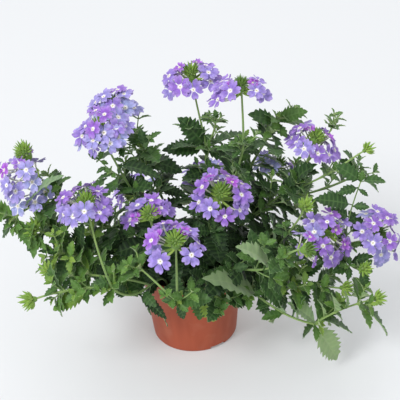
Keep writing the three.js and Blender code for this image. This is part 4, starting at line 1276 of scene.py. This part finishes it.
def floret_facing(number, axis, direction):
    """The way a floret looks: outward from its head, a little up its axis, to the light and to one side."""
    up = spread(number, 8, *FACING["axis"]) * axis
    sunward = spread(number, 10, *FACING["light"]) * LIGHT
    aside = stray_by(number, 14, HEAD_STRAY["aside"]) * np.cross(axis, direction)
    return unit(FACING["out"] * direction + up + sunward + aside)


def grow_head(violet, green, head, name):
    """The rings of florets of one head."""
    axis = head["axis"]
    centre = head["end"] - COLLAR_BELOW[head["form"]] * axis
    axes, _ = frame_along(axis, centre)
    form, age, side, bare = HEADS[name]
    bare_side = np.array((math.cos(math.radians(side)), math.sin(math.radians(side)), 0))
    hang, wide = HANG.get(name, ((0, 0, 0), 1.0))
    made = 0
    for ring, (count, angle, reach, size, drop) in enumerate(RINGS[form]):
        for i in range(count):
            number = head["phase"] * 3 + 100 * ring + i
            turn = 2 * math.pi * (i + 0.5 * ring + stray_by(number, 5, HEAD_STRAY["turn"])) / count
            sideways = axes @ np.array((math.cos(turn), math.sin(turn), 0))
            if sideways.dot(bare_side) > math.cos(math.radians(bare[ring])):
                continue
            tilt = math.radians(angle + stray_by(number, 6, HEAD_STRAY["tilt"]))
            direction = math.sin(tilt) * sideways + math.cos(tilt) * axis
            far = wide * reach + stray_by(number, 7, HEAD_STRAY["reach"])
            face = centre + hang - drop * axis + direction * far
            foot = centre + COLLAR["radius"] * sideways + (COLLAR["low"] * ring - COLLAR["low"] - drop) * axis
            floret_age = age + AGEING["ring"] * (1 - ring) - AGEING["half_open"] * (size < AGEING["small"])
            floret_age += stray_by(number, 11, HEAD_STRAY["age"])
            radius = size * spread(number, 13, *FLORET_RADIUS)
            grow_floret(violet, green, face, floret_facing(number, axis, direction), foot, radius, floret_age,
                        number)
            made += 1
    return made


print("heads:", len(HEADS), "forms:", {form: sum(ring[0] for ring in rings) for form, rings in RINGS.items()})

# %% [markdown]
# ## Dressing the stems
#
# Verbena stems are square, so the sweep has eight sides with every other corner lifted. They swell a little
# at each pair of leaves. Stem, leaves, buds and calyces are one piece for each leafy stem.

# %% Rods and leaves
ROD = {"rings": 26, "sides": 8, "square": 0.07, "slim": 0.88, "taper": 0.25, "swelling": 0.4,
       "swollen": 0.025, "younger": 0.6}
TWIG_RINGS = 6
# Painted shade: leaves near this middle of the bush get a higher age, so the green ramp paints them darker.
SHADE_HEART = {"centre": np.array((0.0, 0.0, 105.0)), "radius": 110, "gain": 0.55}


def grow_rod(bunch, rod, age, rings=ROD["rings"]):
    """A stem, shoot or twig that swells at its pairs and gets thinner and younger to its end."""
    t = np.linspace(0, 1, rings)
    path = np.array([curve_point(rod["points"], at) for at in t])
    radii = rod["radius"] * ROD["slim"] * (1 - ROD["taper"] * t)
    for at, _, _ in rod["carried"]:
        radii = radii * (1 + ROD["swelling"] * bell(t - at, ROD["swollen"]))
    points, faces = sweep(path, radii, ROD["sides"], ROD["square"])
    ages = np.append(np.repeat(age * (1 - ROD["younger"] * t), ROD["sides"]), [age, 0.4 * age])
    corners = np.append(np.tile([1, 0], len(t) * ROD["sides"] // 2), [0, 0])
    bunch.add(points, faces, STEM, ages, 0.5 * corners)


def shaded(origin, age):
    """The age plus painted shade: leaves deep in the plant are painted darker than those outside."""
    depth = 1 - np.linalg.norm(origin - SHADE_HEART["centre"]) / SHADE_HEART["radius"]
    return age + SHADE_HEART["gain"] * max(0.0, depth)


def grow_leaf(bunch, leaf, age):
    """A leaf with its two skins, at the place and in the size that its plan gives."""
    width, curl = leaf.get("width", 1.0), leaf.get("curl", 1.0)
    points, marks, (face, back) = leaf_surface(leaf["length"], leaf["number"], width, curl)
    upper = FELT if leaf.get("felted") else UPPER
    skins = np.concatenate([np.full(len(face), upper), np.full(len(back), UNDER)])
    # painted shade: a leaf deep in the bush is given a higher age, so it is painted darker
    age = shaded(leaf["place"][1], age)
    bunch.add(placed(points, leaf["place"]), np.concatenate([face, back]), skins, age, marks)


# the rise printed here is painted shade, not real age
print("a leaf in the plant's heart looks older by", shaded(SHADE_HEART["centre"], 0))

# %% [markdown]
# Last the pieces are made, one stem and its flower heads at a time. A few of the model's large leaves lie
# where the plant is open, so they are grown smaller here. They are given by number.

# %% Grow everything
SMALLER = {5: 0.5, 20: 0.55, 23: 0.7, 24: 0.6, 40: 0.7, 44: 0.6, 46: 0.5, 48: 0.75, 50: 0.45, 59: 0.55,
           61: 0.5, 77: 0.5, 107: 0.75, 109: 0.4, 112: 0.5, 113: 0.8, 124: 0.8, 126: 0.6, 141: 0.6, 142: 0.4,
           165: 0.5}
STEM_OLDER, SHOOT_YOUNGER = 0.2, 0.3  # than the stem's leaves, and than what a shoot grows on
LOWER_OLDER, MIDDLE_PLACE = 0.25, 0.6  # leaves under the middle place are older, those over it younger
SIDE_YOUNGER, AGE_STRAY = 0.12, 0.1


def grow_green(bunch, name, plan):
    """All that is green on one stem, but for the calyces of its florets."""
    for rod in plan["rods"]:
        grow_rod(bunch, rod, min(1, STEM_AGE[name] + STEM_OLDER - SHOOT_YOUNGER * rod["depth"]))
    for leaf in plan["grown"]:
        leaf["length"] *= SMALLER.get(leaf["number"], 1.0)
        age = STEM_AGE[name] + LOWER_OLDER * (MIDDLE_PLACE - leaf["at"]) - SIDE_YOUNGER * leaf["depth"]
        grow_leaf(bunch, leaf, age + stray_by(leaf["number"], 14, AGE_STRAY))
    for twig in plan["twigs"]:
        grow_rod(bunch, twig, STEM_AGE[name], rings=TWIG_RINGS)
    for leaf in plan["extra"]:
        grow_leaf(bunch, leaf, leaf["age"])
    for tuft in plan["tufts"]:
        grow_tuft(bunch, tuft, BUDS if tuft["kind"] != "head" else SPENT_TUFT if name in SPENT else TUFT)


florets = 0
for name, plan in PLANS.items():
    green, violet = Bunch(), Bunch()
    grow_green(green, name, plan)
    for head in plan["heads"]:
        florets += grow_head(violet, green, head, name)
        dress(violet.make("flower_head_" + name, VIOLET_SKINS), "florets_" + name)
    dress(green.make("leafy_stem_" + name, GREEN_SKINS), "stem_" + name)
print("florets:", florets)

# %% [markdown]
# ## The pot
#
# A nursery pot is injection moulded in polypropylene, coloured like terracotta. Its section is drawn once and
# turned round: a rounded foot, a thin wall that leans out, and a thicker rim band with a soft lip.

# %% The pot's section, in millimetres
POT = {"height": 85.6, "foot": 41.2, "wall_foot": 43.6, "wall": [(44.9, 15.0), (46.9, 35.0), (49.0, 55.5)],
       "wall_top": (51.0, 75.5), "rim_foot": (52.6, 76.3), "rim": 53.4, "inner_top": 51.2,
       "inner_wall": [(49.0, 65.0), (46.0, 38.0)], "inner_foot": 42.0, "floor": 3.0, "segments": 120}
ROUNDING = {"lip": 1.0, "inner_lip": 0.8, "foot": 2.2}
CREASE = 40  # degrees; sharper edges of the pot and the compost stay sharp


def rounded(corner, radius, start, end, steps=4):
    """Points on an arc from the start angle to the end angle, about a corner's centre."""
    angles = np.radians(np.linspace(start, end, steps + 1))
    return [(corner[0] + radius * math.cos(a), corner[1] + radius * math.sin(a)) for a in angles]


def pot_section():
    """From the middle of the underside, up the wall, over the rim and down to the middle of the floor."""
    foot, lip, inner_lip = ROUNDING["foot"], ROUNDING["lip"], ROUNDING["inner_lip"]
    rim_foot, rim_low = POT["rim_foot"]
    return [
        (0.0, 0.0), (POT["foot"] - 3, 0.0),
        *rounded((POT["wall_foot"] - foot, foot + 0.02), foot, -88, -2),
        *POT["wall"], POT["wall_top"],
        (rim_foot - 0.5, rim_low - 0.35), (rim_foot, rim_low + 0.4),
        (POT["rim"] - 0.05, POT["height"] - lip - 0.6),
        *rounded((POT["rim"] - lip, POT["height"] - lip), lip, 0, 90),
        *rounded((POT["inner_top"] + inner_lip, POT["height"] - inner_lip), inner_lip, 90, 180),
        *POT["inner_wall"], (POT["inner_foot"] + 0.5, POT["floor"] + 1.2),
        (POT["inner_foot"] - 1, POT["floor"]), (0.0, POT["floor"]),
    ]


def turned_rings(section, segments):
    """A ring of points round Z for each point of a section but its first and last, which lie on the axis."""
    turns = 2 * np.pi * np.arange(segments) / segments
    return [np.stack([r * np.cos(turns), r * np.sin(turns), np.full(segments, z)], -1)
            for r, z in section[1:-1]]


def turned_mesh(name, section, segments):
    """A closed mesh of a section turned round Z."""
    rings = turned_rings(section, segments)
    ends = [(0, 0, section[0][1]), (0, 0, section[-1][1])]
    bunch = Bunch()
    bunch.add(np.concatenate([*rings, ends]), sweep_faces(len(rings), segments), 0, 0)
    return bunch.make(name, [], crease=CREASE)


print("points in the pot's section:", len(pot_section()))

# %% [markdown]
# The foot has slots, so that water runs out from under the pot, and the floor has drain holes. They are
# plain cuts through one solid, so a Boolean makes them: a cutter is placed where each one is and taken away.

# %% Slots and drain holes
DRAIN = {"count": 3, "radius": 3.5, "ring": 26, "from": -3, "to": 6, "segments": 24}
FOOT_SLOT = {"count": 3, "width": 17, "depth": 5.5, "height": 3.2, "first_angle": -59}


def cut_out(body, cutters):
    """Cuts the cutters out of the body for good, and removes them."""
    for cutter in cutters:
        boolean = body.modifiers.new("cut", "BOOLEAN")
        boolean.operation = "DIFFERENCE"
        boolean.object = cutter
    bpy.context.view_layer.update()
    mesh = bpy.data.meshes.new_from_object(body.evaluated_get(bpy.context.evaluated_depsgraph_get()))
    body.modifiers.clear()
    body.data = mesh
    for cutter in cutters:
        bpy.data.objects.remove(cutter)
    mesh.shade_smooth()
    mesh.set_sharp_from_angle(angle=math.radians(CREASE))


def drain_cutter(i):
    """A rod through the floor."""
    radius, low, high = DRAIN["radius"], DRAIN["from"], DRAIN["to"]
    hole = turned_mesh("hole", [(0, low), (radius, low), (radius, high), (0, high)], DRAIN["segments"])
    turn = 2 * math.pi * i / DRAIN["count"]
    hole.location = (DRAIN["ring"] * MM * math.cos(turn), DRAIN["ring"] * MM * math.sin(turn), 0)
    return hole


def slot_cutter(i):
    """A block across the edge of the foot."""
    deep, wide, high = FOOT_SLOT["depth"], FOOT_SLOT["width"] / 2, FOOT_SLOT["height"]
    base = [(-deep, -wide), (deep, -wide), (deep, wide), (-deep, wide)]
    block = np.array([(x, y, z) for z in (-high, high) for x, y in base], float)
    faces = np.array([(0, 3, 2, 1), (4, 5, 6, 7), (0, 1, 5, 4), (1, 2, 6, 5), (2, 3, 7, 6), (3, 0, 4, 7)])
    bunch = Bunch()
    bunch.add(block + (POT["wall_foot"], 0, 0), faces, 0, 0)
    slot = bunch.make("slot", [])
    turn = math.radians(FOOT_SLOT["first_angle"]) + 2 * math.pi * i / FOOT_SLOT["count"]
    slot.rotation_euler = (0, 0, turn)
    return slot


pot = turned_mesh("nursery_pot", pot_section(), POT["segments"])
cut_out(pot, [drain_cutter(i) for i in range(DRAIN["count"])]
        + [slot_cutter(i) for i in range(FOOT_SLOT["count"])])
print("pot:", len(pot.data.polygons), "faces")

# %% [markdown]
# Moulded polypropylene has an even colour and a satin skin. The melt leaves faint streaks up the wall, and a
# used pot gathers dust and scuffs, which dull it in patches. A mould's grain is only about a tenth of a
# millimetre wide, so it is drawn coarser here, as coarse as it needs to show.

# %% The pot's plastic
STREAKS = {"size": 9, "upright": 0.12, "colours": [(0.3, "#9e482c"), (0.7, "#a85033")]}  # mm across
DUST = {"size": 22, "from": 0.55, "full": 0.8, "most": 0.16, "colour": "#c99a80", "roughness": (0.42, 0.62)}
GRAIN = {"size": 0.8, "depth": 0.1 * MM, "strength": 0.15}


def polypropylene():
    """Moulded polypropylene: faint streaks, scuffs and dust, and a fine grain."""
    material, shader = new_material("moulded_polypropylene_terracotta", Roughness=0.5, Specular_IOR_Level=0.4)
    place = add_node(material, "ShaderNodeTexCoord").outputs["Object"]
    upright = add_node(material, "ShaderNodeMapping", {"Vector": place, "Scale": (1, 1, STREAKS["upright"])})
    streaks = add_node(material, "ShaderNodeTexNoise", {
        "Vector": upright.outputs[0], "Scale": per_size(STREAKS["size"]), "Detail": 2.0})
    ramp = add_node(material, "ShaderNodeValToRGB", {"Fac": streaks.outputs["Fac"]})
    set_ramp(ramp, STREAKS["colours"])
    dust = add_node(material, "ShaderNodeTexNoise", {
        "Vector": place, "Scale": per_size(DUST["size"]), "Detail": 4.0})
    share = add_node(material, "ShaderNodeMapRange", {
        "Value": dust.outputs["Fac"], "From Min": DUST["from"], "From Max": DUST["full"],
        "To Min": 0.0, "To Max": DUST["most"]})
    mixed = add_node(material, "ShaderNodeMix", {
        0: share.outputs[0], MIX_A: ramp.outputs["Color"], MIX_B: linear(DUST["colour"])}, data_type="RGBA")
    material.node_tree.links.new(mixed.outputs[MIX_OUT], shader.inputs["Base Color"])
    smooth, dull = DUST["roughness"]
    gloss = add_node(material, "ShaderNodeMapRange", {
        "Value": dust.outputs["Fac"], "To Min": smooth, "To Max": dull})
    material.node_tree.links.new(gloss.outputs[0], shader.inputs["Roughness"])
    grain = add_node(material, "ShaderNodeTexNoise", {"Vector": place, "Scale": per_size(GRAIN["size"])})
    relief = add_node(material, "ShaderNodeBump", {
        "Height": grain.outputs["Fac"], "Strength": GRAIN["strength"], "Distance": GRAIN["depth"]})
    material.node_tree.links.new(relief.outputs["Normal"], shader.inputs["Normal"])
    return material


pot.data.materials.clear()
pot.data.materials.append(polypropylene())
dress(pot, "pot")
print("pot:", pot.data.materials[0].name)

# %% [markdown]
# ## The compost
#
# Moist peat compost is dark, crumbly and never level, and perlite is a white, gritty grain in it. Both are
# quite dull. Most of the compost is hidden under the leaves, so a bumpy plug of it with a few hundred
# crumbs and grains on top is enough.

# %% Compost and perlite
CRUMB_DEPTH = 0.8 * MM


def compost_skin(name, dark, light, grain_mm):
    """A dull, crumbly skin between two colours."""
    material, shader = new_material(name, Roughness=0.95, Specular_IOR_Level=0.2)
    place = add_node(material, "ShaderNodeTexCoord").outputs["Object"]
    crumb = add_node(material, "ShaderNodeTexNoise", {
        "Vector": place, "Scale": per_size(grain_mm), "Detail": 3.0})
    ramp = add_node(material, "ShaderNodeValToRGB", {"Fac": crumb.outputs["Fac"]})
    set_ramp(ramp, [(0.35, dark), (0.65, light)])
    material.node_tree.links.new(ramp.outputs["Color"], shader.inputs["Base Color"])
    relief = add_node(material, "ShaderNodeBump", {"Height": crumb.outputs["Fac"], "Distance": CRUMB_DEPTH})
    material.node_tree.links.new(relief.outputs["Normal"], shader.inputs["Normal"])
    return material


SOIL_SKINS = [compost_skin("moist_peat_compost", "#1d130c", "#463224", 1.6),
              compost_skin("perlite_grain", "#b9b4a8", "#dedad0", 1.0)]
PEAT, PERLITE = range(2)
print("compost finishes:", [m.name for m in SOIL_SKINS])

# %% [markdown]
# The plug of compost is turned like the pot, and the rings on its top are then moved up and down by a few
# crossing waves. The golden angle spreads the crumbs round it, at random distances from the middle.

# %% Compost
SOIL = {"bottom": 3.3, "foot": 41.4, "brim": 49.6, "rings": 16, "segments": 72, "bumps": 1.6, "sunk": 1.2}
CRUMBS = {"count": 420, "size": (0.8, 2.6), "least": 0.4, "perlite": 0.05, "reach": 47.5}


def soil_level(x, y):
    """The height of the compost at a place, in mm."""
    wave = math.sin(x * 0.31 + 1.3) * math.cos(y * 0.27) + math.sin(x * 0.11 - y * 0.19)
    ripple = 0.5 * math.sin(x * 1.3) * math.sin(y * 1.1 + 2)
    return SOIL_TOP - SOIL["sunk"] + SOIL["bumps"] * 0.5 * wave + ripple


def crumb_surface(size, number):
    """A small uneven lump: a sphere of three rings, each point pushed in or out."""
    path = np.array([(0, 0, -0.8), (0, 0, 0), (0, 0, 0.8)]) * size
    points, faces = sweep(path, (0.6 * size, size, 0.55 * size), 6)
    push = np.array([spread(number, k, 0.75, 1.2) for k in range(len(points))])
    points = points * push[:, None]
    points[-2:] = ((0, 0, -1.05 * size), (0, 0, 1.05 * size))
    return points @ np.array(Euler((number, 2 * number, 3 * number)).to_matrix()).T, faces


def grow_plug(bunch):
    """The body of the compost, from its bottom over the uneven top to the middle."""
    section = [(0.0, SOIL["bottom"]), (SOIL["foot"], SOIL["bottom"]), (SOIL["brim"], SOIL_TOP)]
    section += [(SOIL["brim"] * (1 - r / SOIL["rings"]), SOIL_TOP) for r in range(1, SOIL["rings"])]
    section += [(0.0, SOIL_TOP)]
    rings = turned_rings(section, SOIL["segments"])
    for ring in rings[1:]:
        ring[:, 2] = [soil_level(x, y) for x, y in ring[:, :2]]
    ends = [(0, 0, SOIL["bottom"]), (0, 0, soil_level(0, 0))]
    bunch.add(np.concatenate([*rings, ends]), sweep_faces(len(rings), SOIL["segments"]), PEAT, 0)


def make_compost():
    bunch = Bunch()
    grow_plug(bunch)
    for i in range(CRUMBS["count"]):
        reach = CRUMBS["reach"] * math.sqrt(draw(i, 31))
        turn = i * GOLDEN
        x, y = reach * math.cos(turn), reach * math.sin(turn)
        size = spread(i, 32, *CRUMBS["size"]) * draw(i, 33) ** 0.7 + CRUMBS["least"]
        points, faces = crumb_surface(size, i)
        skin = PERLITE if draw(i, 34) < CRUMBS["perlite"] else PEAT
        bunch.add(points + (x, y, soil_level(x, y) + 0.3 * size), faces, skin, 0)
    return bunch.make("compost", SOIL_SKINS)


compost = dress(make_compost(), "soil")
print("compost:", len(compost.data.polygons), "faces")

# %% [markdown]
# ## Floor and light
#
# The plant stands on a plain floor of matt white, which is given a faint glow. The glow is painted light,
# not a lamp: it keeps the shadows on the floor pale. A large soft lamp to the left and in front gives the pot
# its bright side and a soft shadow to the right. A weaker lamp and the pale surroundings fill in.

# %% Floor and light
FLOOR_REACH = 6.0  # metres from the plant to each edge of the floor
# Metres for places and sizes, watts for power.
LAMPS = {
    "key": {"place": (-1.7, -2.0, 2.8), "aim": (0, 0, 0.12), "size": 1.2, "power": 96},
    "fill": {"place": (2.2, -2.0, 2.2), "aim": (0, 0, 0.12), "size": 2.5, "power": 7},
    "back": {"place": (0.6, 2.6, 3.0), "aim": (0, 0, 0.15), "size": 2.4, "power": 38},
}


def make_floor():
    """A plain sheet under the plant, which is stage and no part of it."""
    mesh = bpy.data.meshes.new("studio_floor")
    far = FLOOR_REACH
    mesh.from_pydata([(-far, -far, 0), (far, -far, 0), (far, far, 0), (-far, far, 0)], [], [(0, 1, 2, 3)])
    # The emission paints a glow onto the floor, which is no lamp, so the shadows on it stay pale.
    material, _ = new_material(
        "white_floor_painted_glow", Base_Color=linear("#c6c8ca"), Roughness=0.9, Specular_IOR_Level=0.1,
        Emission_Color=linear("#ffffff"), Emission_Strength=0.16)
    mesh.materials.append(material)
    floor = bpy.data.objects.new("studio_floor", mesh)
    bpy.context.scene.collection.objects.link(floor)
    floor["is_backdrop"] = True
    return floor


def make_lamp(name, place, aim, size, power):
    """A square, white area lamp that shines at its aim."""
    data = bpy.data.lights.new(name, "AREA")
    data.size = size
    data.energy = power
    lamp = bpy.data.objects.new(name, data)
    lamp.location = place
    lamp.rotation_euler = (Vector(aim) - Vector(place)).to_track_quat("-Z", "Y").to_euler()
    bpy.context.scene.collection.objects.link(lamp)
    return lamp


def make_surroundings(colour, strength):
    """Even light from all round, as in a pale room."""
    world = bpy.data.worlds.new("pale_room")
    bpy.context.scene.world = world
    world.use_nodes = True
    background = world.node_tree.nodes["Background"]
    background.inputs["Color"].default_value = linear(colour)
    background.inputs["Strength"].default_value = strength
    return world


floor = make_floor()
for name, settings in LAMPS.items():
    make_lamp(name, **settings)
make_surroundings("#f5f6f8", strength=0.81)
bpy.context.scene.view_settings.view_transform = "Standard"

# %% Size and finish
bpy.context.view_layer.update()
triangles = {o.name: sum(len(p.vertices) - 2 for p in o.data.polygons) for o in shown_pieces()}
print("triangles:", sum(triangles.values()), "most:", max(triangles.values()))
